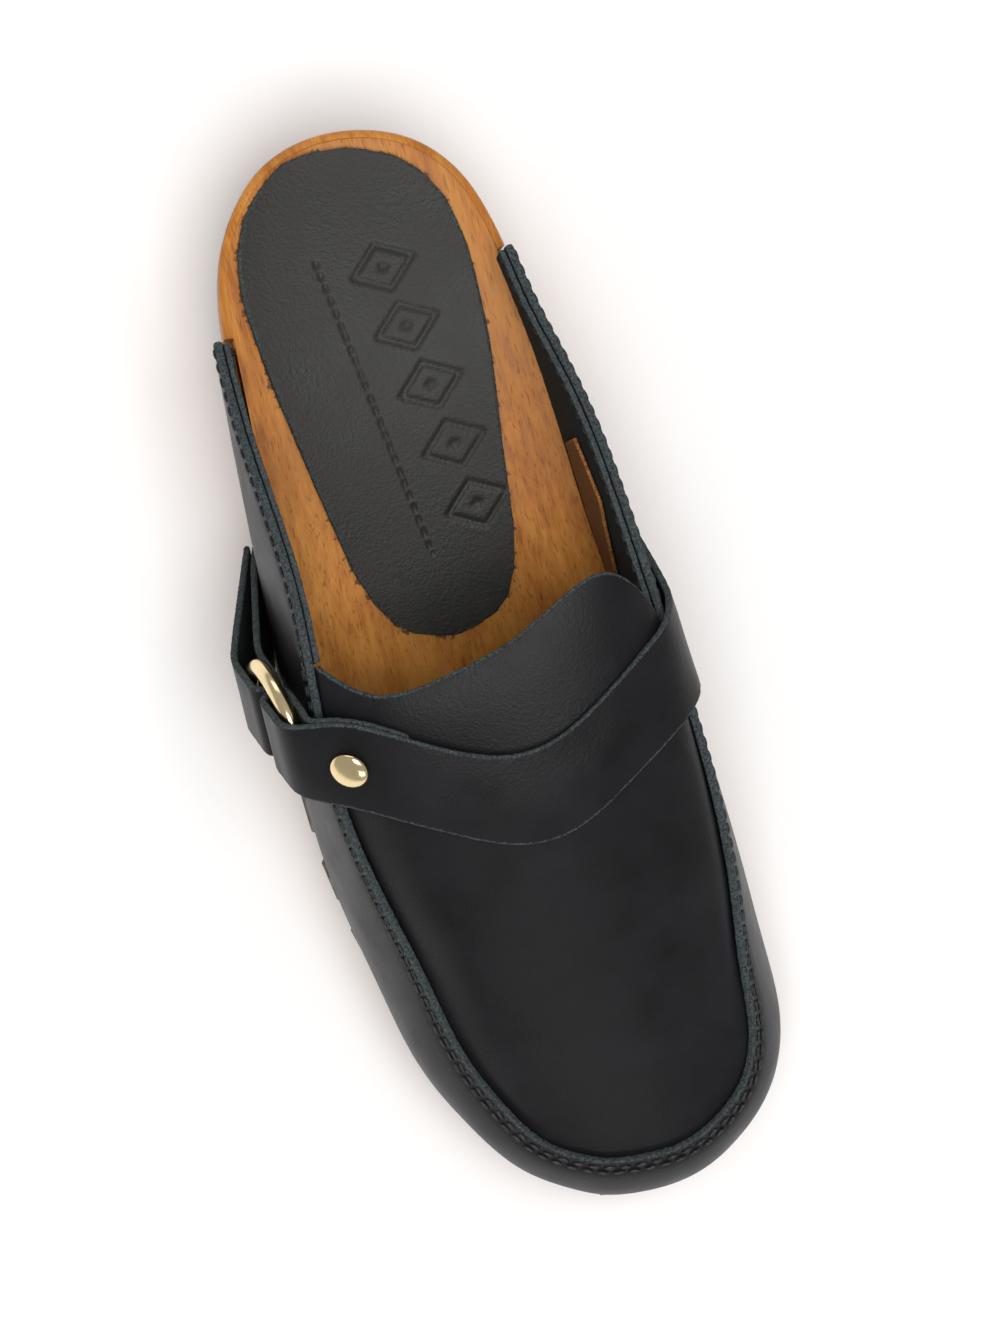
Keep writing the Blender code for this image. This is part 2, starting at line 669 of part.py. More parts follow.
def skin_line(tree, width, low):
    """The outer skin where the sloping plane meets it, from the outer side over to the inner side."""
    line = []
    for angle in np.radians(np.linspace(-52, 232, 200)):
        way = ACROSS_WAY * math.cos(angle) + PLANE_WAY * math.sin(angle)
        start = HUB + WIDTH_WAY * width + way * 150
        hit = tree.ray_cast(Vector(start), Vector(-way))[0]
        if hit is None or hit.z < low(hit.y):
            continue
        if np.dot(np.array(hit) - HUB - WIDTH_WAY * width, way) > 0:
            line.append(flat(np.array(hit) - WIDTH_WAY * width))
    return np.array(line)


def hull(points):
    """The taut line over the outside of points, from the first to the last, running anticlockwise."""
    ordered = sorted(map(tuple, points))

    def half(items):
        chain = []
        for p in items:
            while len(chain) > 1 and ((chain[-1][0] - chain[-2][0]) * (p[1] - chain[-2][1])
                                      - (chain[-1][1] - chain[-2][1]) * (p[0] - chain[-2][0])) <= 0:
                chain.pop()
            chain.append(p)
        return chain

    lower = half(ordered)
    upper = half(ordered[::-1])
    loop = lower[:-1] + upper[:-1]

    def nearest(goal):
        return min(range(len(loop)), key=lambda k: math.dist(loop[k], goal))

    first = nearest(points[0])
    loop = loop[first:] + loop[:first]
    last = nearest(points[-1])
    return np.array(loop[:last + 1])


def grown(line, by):
    """A line in the sloping plane moved outwards, to the right of its anticlockwise run."""
    way = np.gradient(line, axis=0)
    way /= np.maximum(np.linalg.norm(way, axis=1), 1e-9)[:, None]
    return line + np.stack([way[:, 1], -way[:, 0]], 1) * np.reshape(by, (-1, 1))


def eased(line, passes):
    """A polyline with its corners worn off and its ends kept."""
    line = np.array(line)
    for _ in range(passes):
        line[1:-1] = line[1:-1] * .5 + (line[:-2] + line[2:]) * .25
    return line


class RingSeat:
    """Where the ring lies on the outer wall, and the two ways in its plane."""

    def __init__(self, tree, low):
        line = skin_line(tree, 0.0, low)
        heights = np.array([solid_point(p, 0)[2] for p in line])
        outer = [k for k in range(len(line)) if line[k][0] > 0]
        at = min(outer, key=lambda k: abs(heights[k] - RING_HEIGHT))
        reach = RING_INNER / 2 + RING_WIRE + .5
        near = [k for k in outer if np.linalg.norm(line[k] - line[at]) < reach]
        way = line[near[-1]] - line[near[0]]
        self.way = way / np.linalg.norm(way)
        self.out = np.array([self.way[1], -self.way[0]])
        stack = RING_THICKNESS / 2 + FIT + STRAP_LEATHER + FIT
        high = 0.0
        for width in np.linspace(-reach, reach, 7):
            for p in skin_line(tree, width, low):
                if abs(np.dot(p - line[at], self.way)) < reach and p[0] > 0:
                    high = max(high, np.dot(p - line[at], self.out))
        self.middle = line[at] + self.out * (high + stack)
        self.reach = reach

    def local(self, walk, lift):
        return self.middle + self.way * walk + self.out * lift


def half_width(walk):
    """The strap narrows from its full width to its end in the ring."""
    share = np.clip((np.abs(walk) - 14) / 12, 0, 1)
    return (STRAP_END_WIDTH + (STRAP_WIDTH - STRAP_END_WIDTH) * share) / 2


def ribbon(name, seat, lines, shares, parts, look):
    """A leather strip from its centre lines at several shares of its half width."""
    count = len(lines[0])
    points = []
    for share, line in zip(shares, lines):
        for pair in line:
            points.append(solid_point(pair, share * half_width(np.linalg.norm(pair - seat.middle))))
    faces = [(i * count + j, i * count + j + 1, (i + 1) * count + j + 1, (i + 1) * count + j)
             for i in range(len(lines) - 1) for j in range(count - 1)]
    made = add_object(name, mesh_from(name, points, faces), parts, look)
    thick = made.modifiers.new("leather", "SOLIDIFY")
    thick.thickness = STRAP_LEATHER * MM
    thick.offset = 0
    settle(made)
    return made


def fold(seat, side):
    """The leather's turn inside the ring, from its outer layer to its inner one."""
    radius = RING_THICKNESS / 2 + FIT + STRAP_LEATHER / 2
    middle = .2 + STRAP_LEATHER / 2 + radius
    turn = []
    for angle in np.radians(np.linspace(90, 270, 9)):
        turn.append(seat.local(side * (middle + radius * math.cos(angle)), radius * math.sin(angle)))
    return turn


def strap_line(seat, tree, low, width):
    """The strap's middle: up from the inner side, over the instep, round the ring and back under itself."""
    skin = skin_line(tree, width, low)
    turn = fold(seat, 1)
    ahead = np.array([k for k in range(len(skin))
                      if np.dot(skin[k] - seat.middle, seat.way) > seat.reach - 2 or skin[k][0] < 0])
    skin = skin[ahead]
    layer = STRAP_LEATHER
    under_rivet = np.linalg.norm(skin - seat.middle, axis=1) < RIVET_FROM_RING + 12
    gap = STRAP_EASE + layer / 2 + (FIT + RIVET_EASE + RIVET_BACK + layer) * under_rivet
    points = [turn[0], seat.local(seat.reach, layer / 2 + RING_THICKNESS / 2 + FIT)] + list(grown(skin, gap))
    outer = eased(resample(hull(points), STRAP_STEPS), 1)
    distances = np.array([np.linalg.norm(p - seat.middle) for p in outer])
    beneath = grown(outer, -(layer + FIT))
    back = beneath[(distances > seat.reach + 2.2) & (distances < RIVET_FROM_RING + 9) & (outer[:, 0] > 0)]
    lower = seat.local(seat.reach - 1, -(layer / 2 + RING_THICKNESS / 2 + FIT))
    tail = eased(resample([turn[-1], lower] + list(back), 14), 1)
    return list(outer[::-1]) + turn[1:-1] + list(tail)


def tab_line(seat, tree, low, width):
    """The tab's middle: from the outer sole edge up to the ring, round it, and down against the wall."""
    skin = skin_line(tree, width, low)
    below = [k for k in range(len(skin))
             if np.dot(skin[k] - seat.middle, seat.way) < -seat.reach + 2 and skin[k][0] > 0]
    skin = skin[below]
    layer = STRAP_LEATHER
    lift = layer / 2 + RING_THICKNESS / 2 + FIT
    turn = fold(seat, -1)
    close = grown(skin, FIT + .1 + layer / 2)
    far = grown(skin, 2 * FIT + .2 + layer * 1.5)
    inner = hull(list(close) + [seat.local(-seat.reach, -lift), turn[-1]])
    outer = hull(list(far) + [seat.local(-seat.reach, lift), turn[0]])
    return (list(eased(resample(outer, 26), 2)) + turn[1:-1] + list(eased(resample(inner, 26), 2)[::-1]))


def make_ring(seat, parts, look):
    """The round ring, flat against the strap and the tab that loop through it."""
    middle = (RING_INNER + RING_WIRE) / 2
    section = []
    for angle in np.linspace(0, 2 * math.pi, 10, endpoint=False):
        section.append((middle + RING_WIRE / 2 * math.cos(angle), -RING_THICKNESS / 2 * math.sin(angle)))
    ring = screw("ring", section, 40, parts, look, closed=True)
    centre = solid_point(seat.middle, 0)
    axis = ACROSS_WAY * seat.out[0] + PLANE_WAY * seat.out[1]
    carry(ring, centre, axis)
    return centre, axis


def make_rivet(seat, line, parts, cutters, look):
    """Both halves of the strap's rivet, and the holes they need."""
    points = np.array(line)
    outer = [k for k in range(STRAP_STEPS) if points[k][0] > 0]
    at = min(outer, key=lambda k: abs(np.linalg.norm(points[k] - seat.middle) - RIVET_FROM_RING))
    way = points[at - 1] - points[at + 1]
    way /= np.linalg.norm(way)
    out = np.array([way[1], -way[0]])
    axis = ACROSS_WAY * out[0] + PLANE_WAY * out[1]
    face = solid_point(points[at] + out * (STRAP_LEATHER / 2), 0)
    stack = 2 * STRAP_LEATHER + FIT
    post = RIVET_POST / 2
    pin = post - .6
    flange = RIVET_CAP * .32
    dome = [(RIVET_CAP / 2 * math.sin(a), RIVET_LIFT + .2 + 1.7 * math.cos(a))
            for a in np.linspace(0, math.pi / 2, 8)]
    shank = [(RIVET_CAP / 2, RIVET_LIFT), (pin, RIVET_LIFT), (pin, -stack), (0, -stack)]
    cap = screw("rivet_cap", dome + shank, 28, parts, look)
    carry(cap, face, axis)
    seat_z = -stack - RIVET_EASE
    tube = [(0, seat_z - .05), (pin + .3, seat_z - .05), (pin + .3, -.3), (post, -.3), (post, seat_z),
            (flange, seat_z), (flange, seat_z - RIVET_BACK), (0, seat_z - RIVET_BACK)]
    back = screw("rivet_back", tube, 24, parts, look)
    carry(back, face, axis)
    cap_seat = (RIVET_CAP / 2 + .4, RIVET_LIFT - FIT)
    back_seat = (flange + .4, seat_z + FIT)
    bore = post + .25
    room = [(0, 5), (cap_seat[0], 5), cap_seat, (bore, cap_seat[1]), (bore, back_seat[1]), back_seat,
            (back_seat[0], seat_z - 2), (0, seat_z - 2)]
    hole = screw("rivet_hole", room, 20, cutters, None)
    carry(hole, face, axis)
    return hole


# ---------------------------------------------------------------- staples
def bar(ring_points, start, end, radius, sides=8):
    """One round bar's points and faces, for a joined cutter."""
    way = Vector(end) - Vector(start)
    turn = way.to_track_quat("Z", "Y")
    base = len(ring_points)
    for level in (start, end):
        for k in range(sides):
            angle = 2 * math.pi * k / sides
            offset = turn @ Vector((radius * math.cos(angle), radius * math.sin(angle), 0))
            ring_points.append(tuple(Vector(level) + offset))
    faces = [tuple(base + k for k in reversed(range(sides))), tuple(base + sides + k for k in range(sides))]
    for k in range(sides):
        j = (k + 1) % sides
        faces.append((base + k, base + j, base + sides + j, base + sides + k))
    return faces


def staple_mesh(leg):
    """A staple bent from round wire: its crown along X, its legs down Z."""
    curve = bpy.data.curves.new("staple", "CURVE")
    curve.dimensions = "3D"
    curve.bevel_depth = STAPLE_WIRE / 2 * MM
    curve.bevel_resolution = 1
    curve.use_fill_caps = True
    half = STAPLE_CROWN / 2
    bend = .8
    route = [(-half, 0, -leg), (-half, 0, -bend), (-half + bend, 0, 0),
             (half - bend, 0, 0), (half, 0, -bend), (half, 0, -leg)]
    line = curve.splines.new("POLY")
    line.points.add(len(route) - 1)
    for point, place in zip(line.points, route):
        point.co = (place[0] * MM, place[1] * MM, place[2] * MM, 1)
    guide = bpy.data.objects.new("staple_guide", curve)
    bpy.context.scene.collection.objects.link(guide)
    mesh = bpy.data.meshes.new_from_object(guide.evaluated_get(bpy.context.evaluated_depsgraph_get()))
    work = bmesh.new()
    work.from_mesh(mesh)
    bmesh.ops.remove_doubles(work, verts=work.verts, dist=1e-6)
    bmesh.ops.recalc_face_normals(work, faces=work.faces)
    work.to_mesh(mesh)
    work.free()
    bpy.data.objects.remove(guide)
    return mesh


def make_staples(straps, parts, cutters, look):
    """Staples along the wall's foot, with longer ones through the ends of the strap and the tab."""
    tree = tree_of(straps)
    sample = outline(np.linspace(WING_OUTER, WING_INNER, 721))[0]
    walked = np.concatenate([[0], np.cumsum(np.linalg.norm(np.diff(sample, axis=0), axis=1))])
    count = int(walked[-1] // STAPLE_PITCH)
    edge = STAPLE_CROWN / 2 + 1.5
    places = np.linspace(edge, walked[-1] - edge, count)
    clocks = np.interp(places, walked, np.linspace(WING_OUTER, WING_INNER, 721))
    short = staple_mesh(STAPLE_LEG)
    long = staple_mesh(STAPLE_LEG + 2 * STRAP_LEATHER)
    points, faces = [], []
    number = 0
    for clock in clocks:
        column = wall_grid(clock - .5, clock + .5, 3, 41)[:, 1]
        height = column[0, 2] + STAPLE_RISE
        base = np.array([np.interp(height, column[:, 2], column[:, k]) for k in range(3)])
        out = np.append(outline(clock)[1][0], 0)
        side = np.array([-out[1], out[0], 0])
        lifts = []
        for step in (-edge, -edge / 2, 0, edge / 2, edge):
            start = base + side * step + out * 30
            hit = tree.ray_cast(Vector(start), Vector(-out), 40)[0]
            lifts.append(None if hit is None else float(np.dot(np.array(hit) - base, out)))
        found = [lift for lift in lifts if lift is not None]
        if found and len(found) < 5:
            continue
        number += 1
        lift = (max(found) if found else 0.0) + FIT + STAPLE_WIRE / 2
        mesh, leg = (long, STAPLE_LEG + 2 * STRAP_LEATHER) if found else (short, STAPLE_LEG)
        mesh.materials.clear()
        mesh.materials.append(look)
        staple = bpy.data.objects.new(f"staple_{number:02d}", mesh)
        parts.objects.link(staple)
        crown = base + out * lift
        staple.location = [float(c) * MM for c in crown]
        staple.rotation_mode = "QUATERNION"
        staple.rotation_quaternion = Matrix([side, np.cross(out, side), out]).transposed().to_quaternion()
        for step in (-STAPLE_CROWN / 2, STAPLE_CROWN / 2):
            foot = crown + side * step
            faces += bar(points, foot + out * 4, foot - out * (leg + .4), STAPLE_WIRE / 2 + FIT)
    return add_object("staple_holes", mesh_from("staple_holes", points, faces), cutters)


# ---------------------------------------------------------------- the whole clog
def main():
    for item in list(bpy.data.objects):
        bpy.data.objects.remove(item, do_unlink=True)
    parts = collection("wooden_clog")
    cutters = collection("cutters")
    looks = {
        "wood": material("stained_wood", (.52, .25, .07), .45),
        "leather": material("black_leather", (.02, .02, .024), .42),
        "pad": material("sock_leather", (.025, .024, .023), .5),
        "lining": material("lining_leather", (.03, .035, .035), .8),
        "tan": material("tan_leather", (.33, .16, .06), .6),
        "rubber": material("rubber", (.03, .028, .025), .7),
        "gold": material("gold_plate", (.8, .6, .32), .2, 1.0),
        "steel": material("staple_steel", (.5, .45, .35), .35, 1.0),
    }
    sole = make_sole(parts, cutters, looks)
    make_treads(parts, cutters, looks)
    make_pad(parts, looks)
    wrap = make_wrap(parts, looks)
    apron = make_apron(parts, looks)
    make_lining("lining_outer", WING_OUTER + .3, THROAT_OUTER - 1.2, 28, parts, looks["lining"])
    make_lining("lining_inner", THROAT_INNER + 1.2, WING_INNER - .3, 34, parts, looks["lining"])
    make_patch(parts, looks["tan"])

    tree = tree_of([wrap, apron], bowed=True)

    def low(y):
        return float(rim_height(y - STRAP_BOW)) - REBATE_DROP + 1.5

    seat = RingSeat(tree, low)
    shares = (-1, -.5, 0, .5, 1)
    half = STRAP_WIDTH / 2
    strap_lines = [strap_line(seat, tree, low, share * half) for share in shares]
    strap = ribbon("instep_strap", seat, strap_lines, shares, parts, looks["leather"])
    tab_lines = [tab_line(seat, tree, low, share * half) for share in shares]
    tab = ribbon("strap_tab", seat, tab_lines, shares, parts, looks["leather"])
    centre, axis = make_ring(seat, parts, looks["gold"])
    hole = make_rivet(seat, strap_lines[2], parts, cutters, looks["gold"])
    cut(strap, hole)
    settle(strap)
    holes = make_staples([strap, tab], parts, cutters, looks["steel"])
    for item in (sole, wrap, strap, tab):
        cut(item, holes)
        settle(item)
    print("ring centre", np.round(centre * MM, 6).tolist(), "axis", np.round(axis, 6).tolist())


main()
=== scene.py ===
"""Open-backed clog for the right foot: a stained wooden sole, a stapled leather upper and a ringed strap.

Frame: +X towards the outer side of the foot, +Y towards the toe, +Z up, origin on the floor.
Shapes are worked out in millimetres, and every mesh is scaled to metres as it is made.
"""

import math

import bmesh
import bpy
import numpy as np
from mathutils import Matrix, Vector, noise
from mathutils.bvhtree import BVHTree


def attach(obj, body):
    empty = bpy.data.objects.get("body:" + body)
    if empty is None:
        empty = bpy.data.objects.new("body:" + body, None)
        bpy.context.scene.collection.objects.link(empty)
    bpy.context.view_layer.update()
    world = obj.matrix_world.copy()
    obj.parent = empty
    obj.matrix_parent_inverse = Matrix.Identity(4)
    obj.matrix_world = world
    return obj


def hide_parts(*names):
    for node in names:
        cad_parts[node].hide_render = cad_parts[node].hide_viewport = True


bl_info = {
    "name": "Wooden clog",
    "version": (1, 0, 0),
    "blender": (4, 5, 0),
    "location": "View3D > Sidebar > Clog",
    "description": "Builds the finished pieces of an open-backed wooden clog round its frame",
    "category": "Object",
}

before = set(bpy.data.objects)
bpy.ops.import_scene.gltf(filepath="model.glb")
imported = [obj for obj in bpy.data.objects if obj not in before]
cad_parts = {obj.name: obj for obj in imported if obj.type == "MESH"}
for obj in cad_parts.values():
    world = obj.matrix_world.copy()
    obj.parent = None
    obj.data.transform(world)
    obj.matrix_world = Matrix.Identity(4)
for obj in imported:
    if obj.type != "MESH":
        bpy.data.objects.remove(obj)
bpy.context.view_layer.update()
MM = 0.001

# ---- driving sizes, in millimetres ----
SOLE_LENGTH = 252.0
BALL_WIDTH = 90.0
HEEL_RIM = 52.0
BALL_RIM = 28.5
TOE_KICK = 4.5
DISH = 3.6
TREAD_HEEL = 6.0
TREAD_FORE = 5.0
ARCH_RISE = 21.0
TOE_SPRING = 4.0
EDGE_ROUND = 2.0
HEEL_TAPER = 2.2
REBATE_DROP = 12.0
LEATHER = 1.9
LINING = 1.3
PAD = 1.8
PATCH = 0.8
PAD_GAP = 0.55
FIT = 0.3
REBATE = LEATHER + FIT
CROWN = 8.0
STRAP_WIDTH = 20.5
STRAP_END_WIDTH = 19.0
STRAP_LEATHER = 1.6
STRAP_EASE = 1.3
RING_INNER = 20.7
RING_WIRE = 4.8
RING_THICKNESS = 3.8
RING_HEIGHT = 74.0
RIVET_FROM_RING = 28.0
RIVET_CAP = 9.0
RIVET_POST = 3.0
RIVET_BACK = 0.8
RIVET_EASE = 1.1
RIVET_LIFT = 0.6

# The middle of the sole's outline.
MIDDLE_X = -8.2
MIDDLE_Y = -1.5

# ---- outlines: (clock angle round the sole, place across), as a share of the ball width ----
# The clock angle runs from 0 at the back of the heel to 180 at the toe.
OUTER_EDGE = [(0, .083), (7, .167), (15, .257), (22, .321), (31, .393), (41.5, .444), (55, .467), (70, .492),
              (88.5, .531), (99, .545), (110.5, .524), (121, .476), (132.5, .42), (143, .341),
              (154, .253), (163.5, .153), (172, .067), (180, -.044)]
INNER_EDGE = [(0, .083), (7, -.008), (15, -.109), (22, -.181), (31, -.248), (41.5, -.292), (54, -.322),
              (77, -.354), (92.5, -.394), (109, -.44), (128, -.452), (139.5, -.435), (153, -.337),
              (161, -.25), (170, -.157), (180, -.044)]
# Height of the footbed's rim between the ball (0) and the heel (1).
RIM_SHAPE = [(0, 1.0), (.19, .96), (.31, .745), (.43, .42), (.55, .12), (.67, 0), (.83, 0.0), (1, 0)]
# The wall's top edge: (clock angle, lean inwards from the sole's edge, rise above the rim).
TOP_EDGE = [(47.5, -3.2, 15), (60, -2.4, 27.5), (70.5, 0, 40.6), (78, 1.6, 48.8), (86, 1.9, 56.3),
            (94, 2.3, 54), (101, 2.9, 50.2), (110, 4, 45), (120, 4.4, 37.7), (130, 4, 31.2), (139, 3.3, 26),
            (153, 3.6, 21.3), (163, 5, 19.5), (172, 6.3, 18.7), (185, 6.2, 19), (196, 5, 20),
            (204, 4.2, 21.6), (212, 5, 25), (220, 6.3, 28.8), (228, 6.6, 32.5), (239, 4.6, 39.5),
            (250, 2.9, 48.5), (265, .6, 54.5), (280, -1.8, 46.7), (291.5, -2.2, 34.8), (300, -.8, 25.6),
            (306, .4, 20.5), (315, .4, 15.5)]
# How the wall swells: (clock angle, swell low down, swell near the top, drop of the top handle).
SWELL = [(47.5, 1.5, .5, 6), (60, 4.5, 1.5, 9), (75, 5.5, 3, 12), (90, 4, 3, 14), (110, 6, 4.2, 14),
         (130, 9, 6.5, 11), (150, 8.5, 6.5, 6), (180, 7.5, 6, 4), (210, 9, 6.5, 6), (230, 6, 5, 10),
         (250, 3, 3, 14), (270, 1, .5, 12), (290, .8, 0, 9), (315, .5, 0, 6)]
# The apron's free edge: (place across, place along from the middle, height above the ball's rim).
THROAT = [(.36, 1, 68), (.19, 1, 71), (0, -3, 73.5), (-.17, -10, 74.5), (-.25, -11.5, 73.5), (-.33, -6, 69)]
# The sock pad, as a share of the half width of the footbed: (share of the length, inner side, outer side).
PAD_SHAPE = [(.0145, .25, .30), (.018, -.24, .62), (.024, -.42, .70), (.036, -.62, .79), (.055, -.71, .85),
             (.085, -.76, .855), (.13, -.755, .83), (.22, -.675, .74), (.31, -.572, .617), (.39, -.495, .50),
             (.425, -.43, .415), (.448, -.35, .32), (.46, -.26, .22), (.4675, -.12, .08), (.4705, -.02, 0)]

WING_OUTER = 47.5
WING_INNER = 315.0
THROAT_OUTER = 86.0
THROAT_INNER = 263.0
CORNER_OUTER = 141.0
CORNER_INNER = 216.0
PATCH_FIRST = 275.0
PATCH_LAST = 290.0
STRAP_STEPS = 56

# Cut edges of leather stray this far, in tufts of this size.
RAGGED = .14
FRAY_SIZE = .9
FRAY_SEED = 7

# Places of the sole's underside, as shares of its length: the heel's breast, the arch's end, the flat's end.
BREAST = .263
ARCH_END = .53
FLAT_END = .727

SLOPE = 0.7
SLAB_Y = 25.0
SLAB_Z = 88.0
STRAP_BOW = 15.0
BOW_REACH = 41.0
BOW_MIDDLE = MIDDLE_X + 4.0
ACROSS_WAY = np.array([1.0, 0.0, 0.0])
PLANE_WAY = np.array([0.0, SLOPE, 1.0]) / math.hypot(SLOPE, 1.0)
WIDTH_WAY = np.array([0.0, 1.0, -SLOPE]) / math.hypot(SLOPE, 1.0)
HUB = np.array([MIDDLE_X + 8.0, MIDDLE_Y + SLAB_Y - SLOPE * (SLAB_Z - 52.0), 52.0])


# ---------------------------------------------------------------- curves
def spline(table, at):
    """Natural cubic spline through a table's rows, read at one place or many."""
    rows = np.array(table, float)
    knots = rows[:, 0]
    values = rows[:, 1:]
    gaps = np.diff(knots)
    size = len(knots)
    system = np.zeros((size, size))
    right = np.zeros((size, values.shape[1]))
    system[0, 0] = system[-1, -1] = 1.0
    for i in range(1, size - 1):
        system[i, i - 1:i + 2] = gaps[i - 1], 2.0 * (gaps[i - 1] + gaps[i]), gaps[i]
        right[i] = 6.0 * ((values[i + 1] - values[i]) / gaps[i] - (values[i] - values[i - 1]) / gaps[i - 1])
    bend = np.linalg.solve(system, right)
    at = np.atleast_1d(np.asarray(at, float))
    i = np.clip(np.searchsorted(knots, at) - 1, 0, size - 2)
    h = gaps[i][:, None]
    u = (at - knots[i])[:, None]
    v = h - u
    return ((bend[i] * v ** 3 + bend[i + 1] * u ** 3) / (6.0 * h)
            + (values[i] / h - bend[i] * h / 6.0) * v + (values[i + 1] / h - bend[i + 1] * h / 6.0) * u)


def resample(points, count):
    """Points spread evenly along a polyline."""
    points = np.asarray(points, float)
    walked = np.concatenate([[0], np.cumsum(np.linalg.norm(np.diff(points, axis=0), axis=1))])
    targets = np.linspace(0, walked[-1], count)
    return np.stack([np.interp(targets, walked, points[:, k]) for k in range(points.shape[1])], 1)


# ---------------------------------------------------------------- the clog's shape
def along(share):
    """Place along the shoe of a share of its length, from 0 at the heel to 1 at the toe."""
    return MIDDLE_Y + (share - 0.5) * SOLE_LENGTH


def share_of(y):
    """Share of the length of a place along the shoe."""
    return np.clip((y - MIDDLE_Y) / SOLE_LENGTH + 0.5, 0, 1)


def outline(clock, inset=0.0):
    """Points of the sole's edge at clock angles up to 360, moved inwards by an inset."""
    clock = np.atleast_1d(np.asarray(clock, float))

    def edge(angle):
        folded = np.where(angle <= 180, angle, 360 - angle)
        across = np.where(angle <= 180, spline(OUTER_EDGE, folded)[:, 0], spline(INNER_EDGE, folded)[:, 0])
        return np.stack([MIDDLE_X + across * BALL_WIDTH, along(0.5 - 0.5 * np.cos(np.radians(folded)))], 1)

    ahead = edge(np.mod(clock + 0.4, 360))
    behind = edge(np.mod(clock - 0.4, 360))
    way = ahead - behind
    inwards = np.stack([-way[:, 1], way[:, 0]], 1) / np.linalg.norm(way, axis=1)[:, None]
    return edge(clock) + inwards * np.reshape(inset, (-1, 1)), -inwards


def rim_height(y):
    """Height of the footbed's rim, with its kick at the toe."""
    share = share_of(np.asarray(y, float))
    kick = np.clip((share - 0.8) / 0.2, 0, 1) ** 2 * TOE_KICK
    return BALL_RIM + (HEEL_RIM - BALL_RIM) * np.interp(share, *SMOOTH_RIM) + kick


RIM_STEPS = np.linspace(0, 1, 201)
SMOOTH_RIM = (RIM_STEPS, np.clip(spline(RIM_SHAPE, RIM_STEPS)[:, 0], 0, 1.02))
FOLD_STEPS = np.linspace(0, 180, 721)
INNER_STEPS = MIDDLE_X + spline(INNER_EDGE, FOLD_STEPS)[:, 0] * BALL_WIDTH
OUTER_STEPS = MIDDLE_X + spline(OUTER_EDGE, FOLD_STEPS)[:, 0] * BALL_WIDTH


def footbed_height(x, y):
    """The dished footbed: level with the rim at the edge, DISH lower in the middle."""
    folded = np.degrees(np.arccos(1 - 2 * share_of(y)))
    inner = np.interp(folded, FOLD_STEPS, INNER_STEPS)
    outer = np.interp(folded, FOLD_STEPS, OUTER_STEPS)
    across = np.minimum(1.0, np.abs(2 * (x - inner) / np.maximum(outer - inner, 1e-6) - 1))
    return rim_height(y) - DISH * (1 - across ** 2.5) * np.sin(np.radians(folded)) ** 0.6


def grid_normals(grid, away_from):
    """Unit normals of a grid of points, pointing away from a centre."""
    grid = np.asarray(grid, float)
    normals = np.cross(np.gradient(grid, axis=0), np.gradient(grid, axis=1))
    normals /= np.maximum(np.linalg.norm(normals, axis=2), 1e-9)[:, :, None]
    side = np.sign(np.sum(normals * (grid - np.asarray(away_from, float)), axis=2))
    return normals * np.sign(np.median(side))


def under_profile(depth):
    """The line of the sole's underside between the heel and the toe, a depth below the wood."""
    breast = along(BREAST)
    arch_end = along(ARCH_END)
    flat_end = along(FLAT_END)
    line = [(breast, -depth), (breast + .8, ARCH_RISE * .45 - depth), (breast + 2.2, ARCH_RISE * .72 - depth),
            (breast + 5.5, ARCH_RISE * .92 - depth), (breast + 11, ARCH_RISE - depth)]
    for step in range(1, 9):
        share = step / 8
        ease = 0.5 + 0.5 * math.cos(math.pi * share)
        line.append((breast + 11 + (arch_end - breast - 11) * share,
                     TREAD_FORE + (ARCH_RISE - TREAD_FORE) * ease - depth))
    for step in range(1, 9):
        share = step / 8
        line.append((flat_end + (along(1.03) - flat_end) * share,
                     TREAD_FORE + TOE_SPRING * share ** 2 * 1.06 - depth))
    return line


def wall_grid(first, last, count, rows=41, low=0.0):
    """The wall's outer face between two clock angles, from its foot on the ledge up to its top edge."""
    clock = np.linspace(first, last, count)
    foot, outwards = outline(clock)
    rim = rim_height(foot[:, 1])
    lean, rise = spline(TOP_EDGE, clock).T
    swell_low, swell_high, drop = spline(SWELL, clock).T
    head, _ = outline(clock, lean)
    p0 = np.column_stack([foot, rim - REBATE_DROP + FIT])
    p3 = np.column_stack([head, rim + rise])
    side = np.column_stack([outwards, np.zeros(count)])
    up = np.array([0, 0, 1.0])
    p1 = p0 + side * swell_low[:, None] + up * (.36 * (p3 - p0)[:, 2])[:, None]
    p2 = p3 + side * swell_high[:, None] - up * drop[:, None]
    grid = []
    for t in np.linspace(low, 1, rows):
        grid.append(p0 * (1 - t) ** 3 + p1 * 3 * t * (1 - t) ** 2 + p2 * 3 * t ** 2 * (1 - t) + p3 * t ** 3)
    return np.array(grid)


def inside_wall(grid, depth):
    """The face a depth inside the wall's outer one."""
    return grid - grid_normals(grid, (MIDDLE_X, MIDDLE_Y, 40)) * depth


